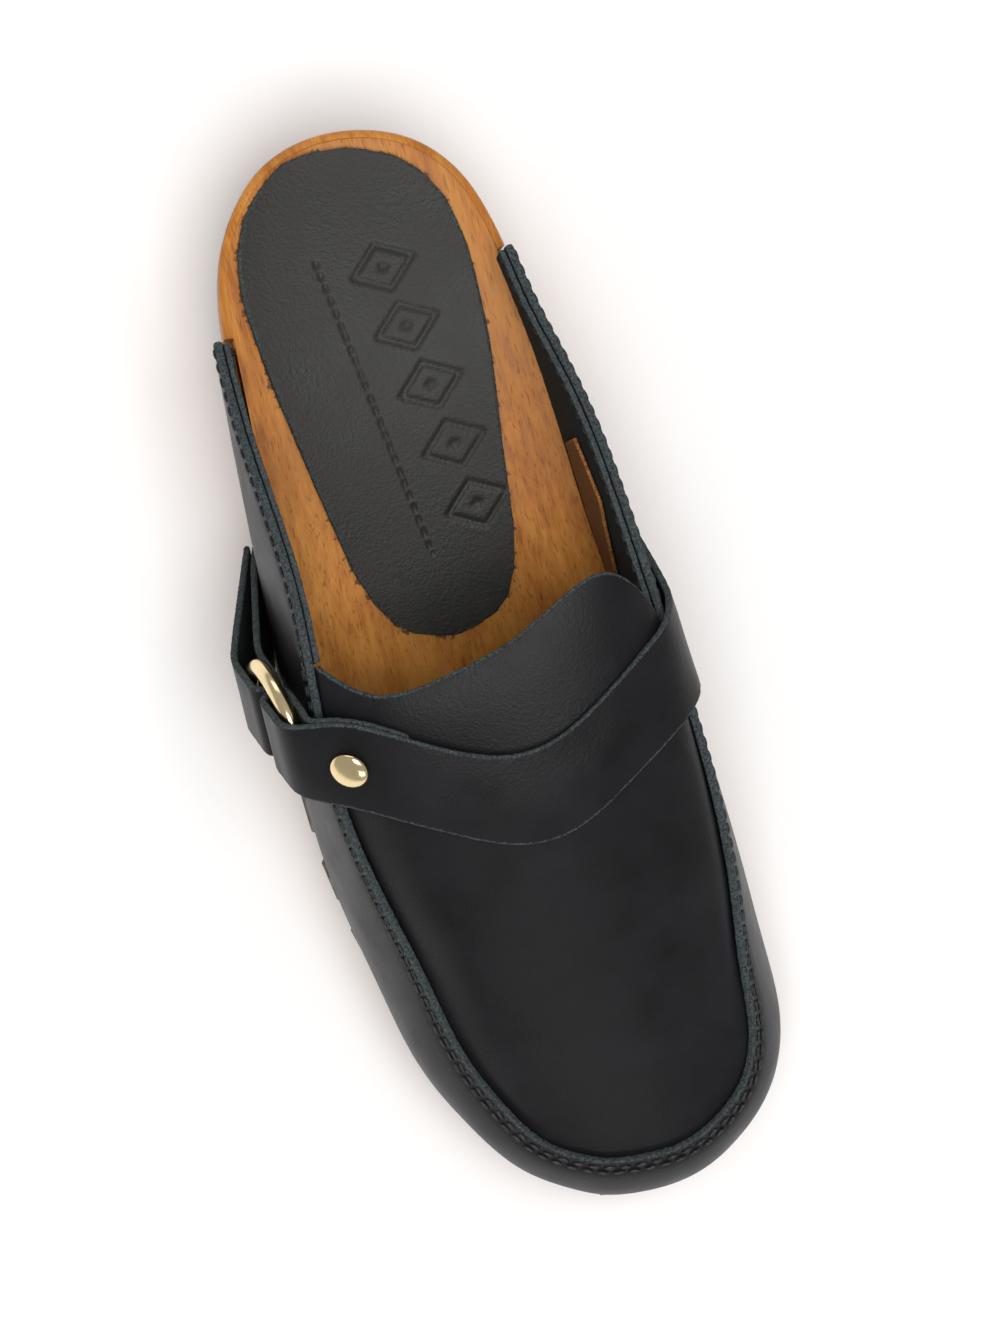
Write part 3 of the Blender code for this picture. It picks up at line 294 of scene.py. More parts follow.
def apron_grid(steps_across=20, steps_along=20):
    """The plug's upper face: a crowned patch between the two sides of the seam, the toe and the throat."""
    depth = LEATHER + FIT

    def seam(first, last, count):
        grid = wall_grid(first, last, count, 21)
        return inside_wall(grid, depth)[-1]

    u = np.linspace(0, 1, steps_across + 1)
    v = np.linspace(0, 1, steps_along + 1)
    outer = seam(THROAT_OUTER, CORNER_OUTER, steps_along + 1)
    toe = seam(CORNER_OUTER, CORNER_INNER, steps_across + 1)
    inner = seam(THROAT_INNER, CORNER_INNER, steps_along + 1)
    knots = [outer[0]]
    for across, place, height in THROAT:
        knots.append((MIDDLE_X + across * BALL_WIDTH, MIDDLE_Y + place, BALL_RIM + height))
    knots.append(inner[0])
    knots = np.array(knots)
    walked = np.concatenate([[0], np.cumsum(np.linalg.norm(np.diff(knots, axis=0), axis=1))])
    curve = spline(np.column_stack([walked, knots]), np.linspace(0, walked[-1], 121))
    throat = resample(curve, steps_across + 1)
    grid = np.zeros((steps_along + 1, steps_across + 1, 3))
    for i in range(steps_along + 1):
        for j in range(steps_across + 1):
            ruled = ((1 - u[j]) * outer[i] + u[j] * inner[i] + (1 - v[i]) * throat[j] + v[i] * toe[j]
                     - (1 - u[j]) * (1 - v[i]) * outer[0] - u[j] * (1 - v[i]) * inner[0]
                     - (1 - u[j]) * v[i] * outer[-1] - u[j] * v[i] * inner[-1])
            arch = (1 - abs(2 * u[j] - 1) ** 2.2) * (1 - v[i] ** 2.5) * min(1.0, v[i] * 4.0)
            ruled[2] += CROWN * arch
            grid[i, j] = ruled
    return grid


def flat(point):
    """A point's two coordinates in the strap's sloping plane."""
    return np.array([np.dot(point - HUB, ACROSS_WAY), np.dot(point - HUB, PLANE_WAY)])


def bow(x):
    """How far the strap's cut swings back towards the heel, from its middle to its two ends."""
    share = np.clip(abs(x - BOW_MIDDLE) / BOW_REACH, 0, 1)
    return STRAP_BOW * (0.5 - 0.5 * math.cos(math.pi * share))


def solid_point(pair, width):
    """The place of a point of the strap's sloping plane, a way across the strap, with its bow."""
    point = HUB + ACROSS_WAY * pair[0] + PLANE_WAY * pair[1] + WIDTH_WAY * width
    point[1] -= bow(point[0])
    return point


def tree_of(objects, bowed=False):
    """A search tree over several objects' meshes, in millimetres, with the strap's bow taken out or left."""
    points, faces = [], []
    for item in objects:
        start = len(points)
        for vertex in item.data.vertices:
            place = vertex.co / MM
            points.append((place.x, place.y + (bow(place.x) if bowed else 0), place.z))
        faces += [tuple(start + k for k in p.vertices) for p in item.data.polygons]
    return BVHTree.FromPolygons(points, faces)


def skin_line(tree, width, low):
    """The outer skin where the sloping plane meets it, from the outer side over to the inner side."""
    line = []
    for angle in np.radians(np.linspace(-52, 232, 200)):
        way = ACROSS_WAY * math.cos(angle) + PLANE_WAY * math.sin(angle)
        start = HUB + WIDTH_WAY * width + way * 150
        hit = tree.ray_cast(Vector(start), Vector(-way))[0]
        if hit is None or hit.z < low(hit.y):
            continue
        if np.dot(np.array(hit) - HUB - WIDTH_WAY * width, way) > 0:
            line.append(flat(np.array(hit) - WIDTH_WAY * width))
    return np.array(line)


def hull(points):
    """The taut line over the outside of points, from the first to the last, running anticlockwise."""
    ordered = sorted(map(tuple, points))

    def half(items):
        chain = []
        for p in items:
            while len(chain) > 1 and ((chain[-1][0] - chain[-2][0]) * (p[1] - chain[-2][1])
                                      - (chain[-1][1] - chain[-2][1]) * (p[0] - chain[-2][0])) <= 0:
                chain.pop()
            chain.append(p)
        return chain

    lower = half(ordered)
    upper = half(ordered[::-1])
    loop = lower[:-1] + upper[:-1]
    first = min(range(len(loop)),
                key=lambda k: np.hypot(loop[k][0] - points[0][0], loop[k][1] - points[0][1]))
    loop = loop[first:] + loop[:first]
    last = min(range(len(loop)),
               key=lambda k: np.hypot(loop[k][0] - points[-1][0], loop[k][1] - points[-1][1]))
    return np.array(loop[:last + 1])


def grown(line, by):
    """A line in the sloping plane moved outwards, to the right of its anticlockwise run."""
    way = np.gradient(line, axis=0)
    way /= np.maximum(np.linalg.norm(way, axis=1), 1e-9)[:, None]
    return line + np.stack([way[:, 1], -way[:, 0]], 1) * np.reshape(by, (-1, 1))


def eased(line, passes):
    """A polyline with its corners worn off and its ends kept."""
    line = np.array(line)
    for _ in range(passes):
        line[1:-1] = line[1:-1] * .5 + (line[:-2] + line[2:]) * .25
    return line


class RingSeat:
    """Where the ring lies on the outer wall, and the two ways in its plane."""

    def __init__(self, tree, low):
        line = skin_line(tree, 0.0, low)
        heights = np.array([solid_point(p, 0)[2] for p in line])
        outer = [k for k in range(len(line)) if line[k][0] > 0]
        at = min(outer, key=lambda k: abs(heights[k] - RING_HEIGHT))
        reach = RING_INNER / 2 + RING_WIRE + .5
        near = [k for k in outer if np.linalg.norm(line[k] - line[at]) < reach]
        way = line[near[-1]] - line[near[0]]
        self.way = way / np.linalg.norm(way)
        self.out = np.array([self.way[1], -self.way[0]])
        stack = RING_THICKNESS / 2 + FIT + STRAP_LEATHER + FIT
        high = 0.0
        for width in np.linspace(-reach, reach, 7):
            for p in skin_line(tree, width, low):
                if abs(np.dot(p - line[at], self.way)) < reach and p[0] > 0:
                    high = max(high, np.dot(p - line[at], self.out))
        self.middle = line[at] + self.out * (high + stack)
        self.reach = reach

    def local(self, walk, lift):
        return self.middle + self.way * walk + self.out * lift


def half_width(walk):
    """The strap narrows from its full width to its end in the ring."""
    share = np.clip((np.abs(walk) - 14) / 12, 0, 1)
    return (STRAP_END_WIDTH + (STRAP_WIDTH - STRAP_END_WIDTH) * share) / 2


def fold(seat, side):
    """The leather's turn inside the ring, from its outer layer to its inner one."""
    radius = RING_THICKNESS / 2 + FIT + STRAP_LEATHER / 2
    middle = .2 + STRAP_LEATHER / 2 + radius
    turn = []
    for angle in np.radians(np.linspace(90, 270, 9)):
        turn.append(seat.local(side * (middle + radius * math.cos(angle)), radius * math.sin(angle)))
    return turn


def strap_line(seat, tree, low, width):
    """The strap's middle: from the inner sole edge over the instep, round the ring and back under itself."""
    skin = skin_line(tree, width, low)
    turn = fold(seat, 1)
    ahead = np.array([k for k in range(len(skin))
                      if np.dot(skin[k] - seat.middle, seat.way) > seat.reach - 2 or skin[k][0] < 0])
    skin = skin[ahead]
    layer = STRAP_LEATHER
    over_rivet = FIT + RIVET_EASE + RIVET_BACK + layer
    gap = [STRAP_EASE + layer / 2 + over_rivet * (np.linalg.norm(p - seat.middle) < 36) for p in skin]
    points = [turn[0], seat.local(seat.reach, layer / 2 + RING_THICKNESS / 2 + FIT)] + list(grown(skin, gap))
    outer = eased(resample(hull(points), STRAP_STEPS), 1)
    distances = np.array([np.linalg.norm(p - seat.middle) for p in outer])
    beneath = grown(outer, -(layer + FIT))
    back = beneath[(distances > seat.reach + 2.2) & (distances < RIVET_FROM_RING + 9) & (outer[:, 0] > 0)]
    lower = seat.local(seat.reach - 1, -(layer / 2 + RING_THICKNESS / 2 + FIT))
    tail = eased(resample([turn[-1], lower] + list(back), 14), 1)
    return list(outer[::-1]) + turn[1:-1] + list(tail)


def tab_line(seat, tree, low, width):
    """The tab's middle: from the outer sole edge up, round the ring, and down again against the wall."""
    skin = skin_line(tree, width, low)
    below = [k for k in range(len(skin))
             if np.dot(skin[k] - seat.middle, seat.way) < -seat.reach + 2 and skin[k][0] > 0]
    skin = skin[below]
    layer = STRAP_LEATHER
    lift = layer / 2 + RING_THICKNESS / 2 + FIT
    turn = fold(seat, -1)
    close = grown(skin, FIT + .1 + layer / 2)
    far = grown(skin, 2 * FIT + .2 + layer * 1.5)
    inner = hull(list(close) + [seat.local(-seat.reach, -lift), turn[-1]])
    outer = hull(list(far) + [seat.local(-seat.reach, lift), turn[0]])
    return (list(eased(resample(outer, 26), 2)) + turn[1:-1] + list(eased(resample(inner, 26), 2)[::-1]))


# ---------------------------------------------------------------- sizes and colours a user would change
def colour_setting(name, description, code):
    """A colour in the sidebar, from its sRGB hex code."""
    return bpy.props.FloatVectorProperty(name=name, description=description, default=linear(code),
                                         subtype="COLOR", size=3, min=0, max=1)


def length_setting(name, description, millimetres):
    """A length in the sidebar, given here in millimetres."""
    return bpy.props.FloatProperty(name=name, description=description, default=millimetres * MM,
                                   min=0, subtype="DISTANCE", unit="LENGTH", precision=5)


def linear(code):
    """A colour's linear values from its sRGB hex code."""
    values = [int(code[k:k + 2], 16) / 255 for k in (1, 3, 5)]
    return tuple(v / 12.92 if v <= 0.04045 else ((v + 0.055) / 1.055) ** 2.4 for v in values)


class ClogColours(bpy.types.PropertyGroup):
    wood_light: colour_setting("Light wood", "Early wood of the stained sole", "#D18E3E")
    wood_middle: colour_setting("Middle wood", "Main colour of the stained sole", "#BB742B")
    wood_dark: colour_setting("Dark wood", "Late wood and blotches in the stain", "#864613")
    leather: colour_setting("Leather", "Black smooth leather of the upper", "#1B1B1D")
    pad: colour_setting("Sock pad", "Thin black leather of the sock pad", "#2B2A28")
    raw_edge: colour_setting("Raw edge", "Cut edge of the leather, where its fibres show", "#363C3D")
    lining: colour_setting("Lining", "Fuzzy side of the lining leather", "#232A2A")
    tan: colour_setting("Tan patch", "Tan leather patch in the inner wing", "#8A5A2E")
    thread: colour_setting("Thread", "Waxed black thread", "#141517")
    gold: colour_setting("Gold", "Pale gold plate of the ring and the rivet", "#F0D9A8")
    steel: colour_setting("Staple wire", "Plated wire of the staples", "#6E6A60")
    rubber: colour_setting("Rubber", "Moulded tread under the heel and the forepart", "#2A2724")
    floor: colour_setting("Floor", "Plain pale floor", "#FFFFFF")


class ClogSizes(bpy.types.PropertyGroup):
    stitch_pitch: length_setting("Stitch pitch", "Distance from one stitch to the next", 3.65)
    stitch_length: length_setting("Stitch length", "Length of thread that shows in one stitch", 2.9)
    thread_width: length_setting("Thread width", "Thickness of the waxed thread", 0.85)
    row_gap: length_setting("Row gap", "Distance between the two rows of the apron seam", 1.9)
    edge_to_row: length_setting("Edge to row", "Distance from a cut edge to its nearest row", 2.1)
    edge_round: length_setting("Edge rounding", "How far the cut edges of the upper are worn round", 0.55)
    motif_depth: length_setting("Motif depth", "How deep the sock pad's motif is pressed in", 0.35)


# ---------------------------------------------------------------- mesh helpers
def grid_faces(rows, columns, start=0):
    """The quads of a grid whose points run along its columns first."""
    corner = (np.arange(rows - 1)[:, None] * columns + np.arange(columns - 1)).ravel() + start
    return np.stack([corner, corner + 1, corner + columns + 1, corner + columns], 1).tolist()


def finished_mesh(name, points, faces, marks=None):
    """A closed mesh in metres with its faces outwards, and its marks kept as attributes of its points."""
    mesh = bpy.data.meshes.new(name)
    mesh.from_pydata((np.asarray(points, float) * MM).tolist(), [], faces)
    for label, values in (marks or {}).items():
        mark = mesh.attributes.new(label, "FLOAT", "POINT")
        mark.data.foreach_set("value", np.asarray(values, np.float32).ravel())
    work = bmesh.new()
    work.from_mesh(mesh)
    bmesh.ops.remove_doubles(work, verts=work.verts, dist=2e-6)
    bmesh.ops.recalc_face_normals(work, faces=work.faces)
    work.to_mesh(mesh)
    work.free()
    mesh.shade_smooth()
    return mesh


def finished_piece(name, mesh, look, body, *nodes):
    """A piece that rides on a body and stands for its frame nodes."""
    mesh.materials.clear()
    mesh.materials.append(look)
    made = bpy.data.objects.new(name, mesh)
    bpy.context.scene.collection.objects.link(made)
    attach(made, body)
    if nodes:
        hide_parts(*nodes)
    return made


def walked_rows(grid):
    """How far each point of a grid is down its column from the first row, in millimetres."""
    steps = np.linalg.norm(np.diff(grid, axis=0), axis=2)
    return np.concatenate([np.zeros((1, grid.shape[1])), np.cumsum(steps, axis=0)])


def walked_columns(grid):
    """How far each point of a grid is along its row from the first column, in millimetres."""
    steps = np.linalg.norm(np.diff(grid, axis=1), axis=2)
    return np.concatenate([np.zeros((grid.shape[0], 1)), np.cumsum(steps, axis=1)], axis=1)


def border_steps(length, edge, pitch):
    """Distances along a length, close together over its two rounded edges and a pitch apart between them."""
    near = np.array([0, .12, .3, .6, 1.0, 1.6]) * edge
    middle = np.linspace(near[-1], length - near[-1], max(2, int(round((length - 2 * near[-1]) / pitch)) + 1))
    return np.concatenate([near[:-1], middle, (length - near[:-1])[::-1]])


def columns_at(grid, distances):
    """Each column of a grid read at its own distances from the first row, given a row for each new point."""
    walked = walked_rows(grid)
    out = np.empty((len(distances), grid.shape[1], 3))
    for j in range(grid.shape[1]):
        for k in range(3):
            out[:, j, k] = np.interp(distances[:, j], walked[:, j], grid[:, j, k])
    return out


def fray(sheets, bare, ragged):
    """Roughen the bare cut edges of grids of points. The noise is seeded, so it is the same every time."""
    noise.seed_set(FRAY_SEED)
    for sheet in sheets:
        for i, j in np.argwhere(bare > 0):
            sheet[i, j] += np.array(noise.noise_vector(Vector(sheet[i, j]) / FRAY_SIZE)) * ragged * bare[i, j]


def leather_sheet(name, face, away, thickness, edge, borders="tblr", ragged=RAGGED, dents=None):
    """A closed sheet of leather under a grid of points on its outer face.

    The borders named by their first letters (top, bottom, left, right) are cut edges: they are rounded,
    a little ragged, and marked "cut" for their bare fibres.
    """
    rows, columns = face.shape[:2]
    normals = grid_normals(face, away)
    down, across = walked_rows(face), walked_columns(face)
    gaps = {"t": down, "b": down[-1] - down, "l": across, "r": across[:, -1:] - across}
    nearest = np.min([gaps[side] for side in borders], axis=0) if borders else np.full((rows, columns), 99.0)
    inside = np.clip(nearest, 0, edge)
    drop = edge - np.sqrt(np.maximum(edge ** 2 - (edge - inside) ** 2, 0))
    if dents is not None:
        face = face + normals * dents[:, :, None]
    outer = face - normals * drop[:, :, None]
    inner = face - normals * (thickness - drop)[:, :, None]
    bare = np.clip(1 - nearest / 1.5, 0, 1)
    fray((outer, inner), bare, ragged)
    back = rows * columns
    points = np.concatenate([outer.reshape(-1, 3), inner.reshape(-1, 3)])
    faces = grid_faces(rows, columns)
    faces += [quad[::-1] for quad in grid_faces(rows, columns, back)]
    rim = ([j for j in range(columns)] + [i * columns + columns - 1 for i in range(1, rows)]
           + [(rows - 1) * columns + j for j in range(columns - 2, -1, -1)]
           + [i * columns for i in range(rows - 2, 0, -1)])
    faces += [[rim[k - 1], rim[k], back + rim[k], back + rim[k - 1]] for k in range(len(rim))]
    flesh = np.concatenate([np.zeros(back), np.ones(back)])
    return finished_mesh(name, points, faces, {"cut": np.tile(bare.ravel(), 2), "flesh": flesh})


def turned(name, profile, steps, centre, axis):
    """A turned piece, from a profile of (radius, height) down its outer side, stood on a point."""
    turn = Vector([float(c) for c in axis]).to_track_quat("Z", "Y").to_matrix()
    angles = np.linspace(0, 2 * math.pi, steps, endpoint=False)
    points = [np.array(turn @ Vector((r * math.cos(a), r * math.sin(a), z))) + centre
              for r, z in profile for a in angles]
    faces = []
    for i in range(len(profile) - 1):
        for j in range(steps):
            k = (j + 1) % steps
            faces.append([i * steps + j, i * steps + k, (i + 1) * steps + k, (i + 1) * steps + j])
    return finished_mesh(name, points, faces)


# ---------------------------------------------------------------- materials
def add_node(tree, kind, inputs=None, **settings):
    """A node with its settings. Its inputs, by name or number, take a value or another node's socket."""
    made = tree.nodes.new(kind)
    for name, value in settings.items():
        setattr(made, name, value)
    for name, value in (inputs or {}).items():
        if isinstance(value, bpy.types.NodeSocket):
            tree.links.new(value, made.inputs[name])
        else:
            made.inputs[name].default_value = value
    return made


def new_look(name, roughness, **shader_inputs):
    """A material, its node tree and its shader, with the shader's plain values set on its own sockets."""
    look = bpy.data.materials.new(name)
    look.use_nodes = True
    tree = look.node_tree
    shader = tree.nodes["Principled BSDF"]
    shader.inputs["Roughness"].default_value = roughness
    for label, value in shader_inputs.items():
        shader.inputs[label.replace("_", " ")].default_value = value
    return look, tree, shader


def per_metre(millimetres):
    """A texture's scale for features of a size in millimetres."""
    return 1 / (millimetres * MM)


def ramp(tree, factor, stops):
    """A colour read from a factor, between stops of (place, colour)."""
    made = add_node(tree, "ShaderNodeValToRGB", {"Fac": factor})
    elements = made.color_ramp.elements
    while len(elements) < len(stops):
        elements.new(0.5)
    for element, (place, colour) in zip(elements, stops):
        element.position = place
        element.color = (*colour, 1)
    return made.outputs["Color"]


def mixed(tree, factor, first, second, way="MIX"):
    """Two colours mixed. A plain colour may stand for either."""
    made = add_node(tree, "ShaderNodeMix", data_type="RGBA", blend_type=way)
    for place, value in ((0, factor), (6, first), (7, second)):
        if isinstance(value, bpy.types.NodeSocket):
            tree.links.new(value, made.inputs[place])
        else:
            made.inputs[place].default_value = value if place == 0 else (*value, 1)
    return made.outputs[2]


def stained_wood(colours):
    """Alder stained honey brown and sealed: long soft grain along the foot, fine pores and a satin gloss."""
    look, tree, shader = new_look("stained_alder", 0.5, Specular_IOR_Level=0.25,
                                  Coat_Weight=0.05, Coat_Roughness=0.4)
    place = add_node(tree, "ShaderNodeTexCoord").outputs["Object"]
    # Growth rings are cut by a face nearly level with them, so they show as long wavy bands 9 mm wide.
    stretched = add_node(tree, "ShaderNodeMapping",
                         {"Vector": place, "Scale": (1, .055, .8), "Rotation": (.03, 0, .02)})
    bands = add_node(tree, "ShaderNodeTexNoise",
                     {"Vector": stretched.outputs[0], "Scale": per_metre(9), "Detail": 3.5,
                                                  "Roughness": .55, "Distortion": .6})
    streaks = add_node(tree, "ShaderNodeTexNoise",
                       {"Vector": stretched.outputs[0], "Scale": per_metre(1.3), "Detail": 4,
                                                    "Roughness": .6})
    grain = add_node(tree, "ShaderNodeMath", {0: bands.outputs[0], 1: streaks.outputs[0]}, operation="ADD")
    half = add_node(tree, "ShaderNodeMath", {0: grain.outputs[0], 1: 0.5}, operation="MULTIPLY")
    wood = ramp(tree, half.outputs[0],
                [(.30, colours.wood_dark), (.44, colours.wood_middle), (.60, colours.wood_light)])
    # Stain soaks in unevenly, in cloudy blotches about 25 mm across.
    clouds = add_node(tree, "ShaderNodeTexNoise", {"Vector": place, "Scale": per_metre(25), "Detail": 2})
    cloudy = add_node(tree, "ShaderNodeMapRange", {0: clouds.outputs[0], 1: .42, 2: .75, 3: 0, 4: .42})
    wood = mixed(tree, cloudy.outputs[0], wood, colours.wood_dark)
    # Pores are about 0.4 mm wide and many times as long.
    pores = add_node(tree, "ShaderNodeTexNoise",
                     {"Vector": stretched.outputs[0], "Scale": per_metre(.42), "Detail": 1})
    pitted = add_node(tree, "ShaderNodeMapRange", {0: pores.outputs[0], 1: .60, 2: .74, 3: 0, 4: .5})
    wood = mixed(tree, pitted.outputs[0], wood, tuple(c * .5 for c in colours.wood_dark))
    # Specks of dried glue lie on the wood round the sock pad.
    near = add_node(tree, "ShaderNodeAttribute", attribute_name="glue")
    dots = add_node(tree, "ShaderNodeTexNoise",
                    {"Vector": place, "Scale": per_metre(2.4), "Detail": 3, "Roughness": .7})
    crusted = add_node(tree, "ShaderNodeMath", {0: dots.outputs[0], 1: near.outputs["Fac"]},
                       operation="MULTIPLY")
    specks = add_node(tree, "ShaderNodeMapRange", {0: crusted.outputs[0], 1: .50, 2: .56, 3: 0, 4: .85})
    wood = mixed(tree, specks.outputs[0], wood, linear("#4A2C12"))
    tree.links.new(wood, shader.inputs["Base Color"])
    rough = add_node(tree, "ShaderNodeMapRange", {0: streaks.outputs[0], 1: .3, 2: .7, 3: .4, 4: .56})
    tree.links.new(rough.outputs[0], shader.inputs["Roughness"])
    relief = add_node(tree, "ShaderNodeMath", {0: streaks.outputs[0], 1: pitted.outputs[0]},
                      operation="SUBTRACT")
    bump = add_node(tree, "ShaderNodeBump",
                    {"Height": relief.outputs[0], "Strength": .35, "Distance": .00025})
    tree.links.new(bump.outputs[0], shader.inputs["Normal"])
    return look


def grained_leather(name, colour, raw, flesh, roughness, gloss, grain_depth, grain_size=0.75):
    """Drum-dyed smooth leather: a tight pebble in the light, bare grey fibres where cut, a matt back."""
    look, tree, shader = new_look(name, roughness, Specular_IOR_Level=gloss)
    place = add_node(tree, "ShaderNodeTexCoord").outputs["Object"]
    # The grain's pebbles are under 1 mm across, with a finer roughness of 0.5 mm over them.
    pebbles = add_node(tree, "ShaderNodeTexVoronoi", {"Vector": place, "Scale": per_metre(grain_size)},
                       feature="SMOOTH_F1")
    fine = add_node(tree, "ShaderNodeTexNoise", {"Vector": place, "Scale": per_metre(.5), "Detail": 3})
    broad = add_node(tree, "ShaderNodeTexNoise",
                     {"Vector": place, "Scale": per_metre(14), "Detail": 3, "Roughness": .55})
    # Dye takes a little unevenly, in patches about 14 mm across.
    patchy = add_node(tree, "ShaderNodeMapRange", {0: broad.outputs[0], 1: .3, 2: .7, 3: 0, 4: 1})
    hide = mixed(tree, patchy.outputs[0], tuple(c * .8 for c in colour), tuple(c * 1.22 for c in colour))
    cut_mark = add_node(tree, "ShaderNodeAttribute", attribute_name="cut")
    flesh_mark = add_node(tree, "ShaderNodeAttribute", attribute_name="flesh")
    # Fibres of the cut edge stand in tufts of about 0.5 mm, so its line is broken and mottled.
    tufts = add_node(tree, "ShaderNodeTexNoise",
                     {"Vector": place, "Scale": per_metre(.55), "Detail": 4, "Roughness": .75})
    frayed = add_node(tree, "ShaderNodeMath", {0: tufts.outputs[0], 1: .9, 2: cut_mark.outputs["Fac"]},
                      operation="MULTIPLY_ADD")
    bare = add_node(tree, "ShaderNodeMapRange", {0: frayed.outputs[0], 1: 1.0, 2: 1.2, 3: 0, 4: 1})
    tuft_tone = add_node(tree, "ShaderNodeMapRange", {0: tufts.outputs[0], 1: .35, 2: .65, 3: 0, 4: 1})
    fibres = mixed(tree, tuft_tone.outputs[0], tuple(c * .4 for c in raw),
                   tuple(min(1, c * 2.4) for c in raw))
    matt = mixed(tree, tuft_tone.outputs[0], tuple(c * .6 for c in flesh), tuple(c * 1.3 for c in flesh))
    whole = mixed(tree, flesh_mark.outputs["Fac"], hide, matt)
    whole = mixed(tree, bare.outputs[0], whole, fibres)
    tree.links.new(whole, shader.inputs["Base Color"])
    dull = add_node(tree, "ShaderNodeMath", {0: bare.outputs[0], 1: flesh_mark.outputs["Fac"]},
                    operation="MAXIMUM")
    smooth = add_node(tree, "ShaderNodeMapRange",
                      {0: broad.outputs[0], 1: .3, 2: .7, 3: roughness - .05, 4: roughness + .06})
    rough = add_node(tree, "ShaderNodeMix", {0: dull.outputs[0], 2: smooth.outputs[0], 3: .93})
    tree.links.new(rough.outputs[0], shader.inputs["Roughness"])
    grain = add_node(tree, "ShaderNodeMath", {0: pebbles.outputs["Distance"], 1: .7, 2: fine.outputs[0]},
                     operation="MULTIPLY_ADD")
    height = add_node(tree, "ShaderNodeMix", {0: dull.outputs[0], 2: grain.outputs[0], 3: tufts.outputs[0]})
    depth = add_node(tree, "ShaderNodeMapRange", {0: dull.outputs[0], 1: 0, 2: 1, 3: grain_depth, 4: .9})
    bump = add_node(tree, "ShaderNodeBump", {"Height": height.outputs[0], "Strength": depth.outputs[0],
                                             "Distance": .0004})
    tree.links.new(bump.outputs[0], shader.inputs["Normal"])
    return look


def waxed_thread(colours):
    """Polyester thread, twisted and waxed: a dark cord with fine slanting plies and a dull shine."""
    look, tree, shader = new_look("waxed_thread", 0.5)
    place = add_node(tree, "ShaderNodeTexCoord").outputs["Object"]
    # The plies are 0.5 mm apart.
    plies = add_node(tree, "ShaderNodeTexWave",
                     {"Vector": place, "Scale": per_metre(.5) / 6.28, "Distortion": 3.0,
                                                 "Detail": 2}, bands_direction="DIAGONAL")
    tone = mixed(tree, plies.outputs["Fac"], tuple(c * .6 for c in colours.thread),
                 tuple(c * 1.6 for c in colours.thread))
    tree.links.new(tone, shader.inputs["Base Color"])
    bump = add_node(tree, "ShaderNodeBump",
                    {"Height": plies.outputs["Fac"], "Strength": .6, "Distance": .0002})
    tree.links.new(bump.outputs[0], shader.inputs["Normal"])
    return look


def polished_plate(name, colour, roughness, streak):
    """Plated metal: a bright mirror broken by hairlines and a little wear."""
    look, tree, shader = new_look(name, roughness, Metallic=1.0)
    place = add_node(tree, "ShaderNodeTexCoord").outputs["Object"]
    # Hairlines are drawn about half a millimetre apart, coarser than the real polish, so that they show.
    drawn = add_node(tree, "ShaderNodeMapping", {"Vector": place, "Scale": (1, .15, 1)})
    lines = add_node(tree, "ShaderNodeTexNoise",
                     {"Vector": drawn.outputs[0], "Scale": per_metre(streak), "Detail": 4})
    worn = add_node(tree, "ShaderNodeTexNoise", {"Vector": place, "Scale": per_metre(5), "Detail": 3})
    tone = mixed(tree, worn.outputs[0], tuple(c * .86 for c in colour),
                 tuple(min(1, c * 1.08) for c in colour))
    tree.links.new(tone, shader.inputs["Base Color"])
    rough = add_node(tree, "ShaderNodeMapRange",
                     {0: lines.outputs[0], 1: .35, 2: .65, 3: roughness * .7, 4: roughness * 1.5})
    tree.links.new(rough.outputs[0], shader.inputs["Roughness"])
    bump = add_node(tree, "ShaderNodeBump", {"Height": lines.outputs[0], "Strength": .08, "Distance": .0001})
    tree.links.new(bump.outputs[0], shader.inputs["Normal"])
    return look


def moulded_rubber(colours):
    """Solid rubber sheet, moulded and ground to shape: dark, matt, with a fine pitted skin."""
    look, tree, shader = new_look("moulded_rubber", 0.72)
    place = add_node(tree, "ShaderNodeTexCoord").outputs["Object"]
    pits = add_node(tree, "ShaderNodeTexNoise",
                    {"Vector": place, "Scale": per_metre(.7), "Detail": 5, "Roughness": .7})
    dusty = add_node(tree, "ShaderNodeTexNoise", {"Vector": place, "Scale": per_metre(18), "Detail": 3})
    tone = mixed(tree, dusty.outputs[0], tuple(c * .75 for c in colours.rubber),
                 tuple(c * 1.4 for c in colours.rubber))
    tree.links.new(tone, shader.inputs["Base Color"])
    bump = add_node(tree, "ShaderNodeBump", {"Height": pits.outputs[0], "Strength": .5, "Distance": .0003})
    tree.links.new(bump.outputs[0], shader.inputs["Normal"])
    return look


def looks_of(colours):
    """Every material, made once and then found by name."""
    made = {m.name: m for m in bpy.data.materials}
    if "stained_alder" not in made:
        stained_wood(colours)
        grained_leather("smooth_leather", colours.leather, colours.raw_edge, colours.lining, .41, .13, .16)
        grained_leather("sock_leather", colours.pad, colours.raw_edge, colours.lining, .44, .2, .2, .9)
        grained_leather("lining_leather", colours.lining, colours.raw_edge, colours.lining, .8, .3, .5)
        grained_leather("tan_leather", colours.tan, colours.tan, colours.tan, .7, .3, .3)
        waxed_thread(colours)
        polished_plate("gold_plate", colours.gold, .14, .4)
        polished_plate("staple_wire", colours.steel, .55, .6)
        moulded_rubber(colours)
        made = {m.name: m for m in bpy.data.materials}
    return made


# ---------------------------------------------------------------- wood and pad
def sole_stations():
    """Clock angles down one side of the sole, with each corner of its underside among them."""
    corners = [math.degrees(math.acos(1 - 2 * float(share_of(y)))) for y, _ in under_profile(0.0)]
    breast = math.degrees(math.acos(1 - 2 * BREAST))
    wings = [WING_OUTER - .9, WING_OUTER - .7, 360 - WING_INNER - .9, 360 - WING_INNER - .7]
    return np.array(sorted(set(np.linspace(0, 180, 181)) | set(corners) | {breast - .05} | set(wings)))


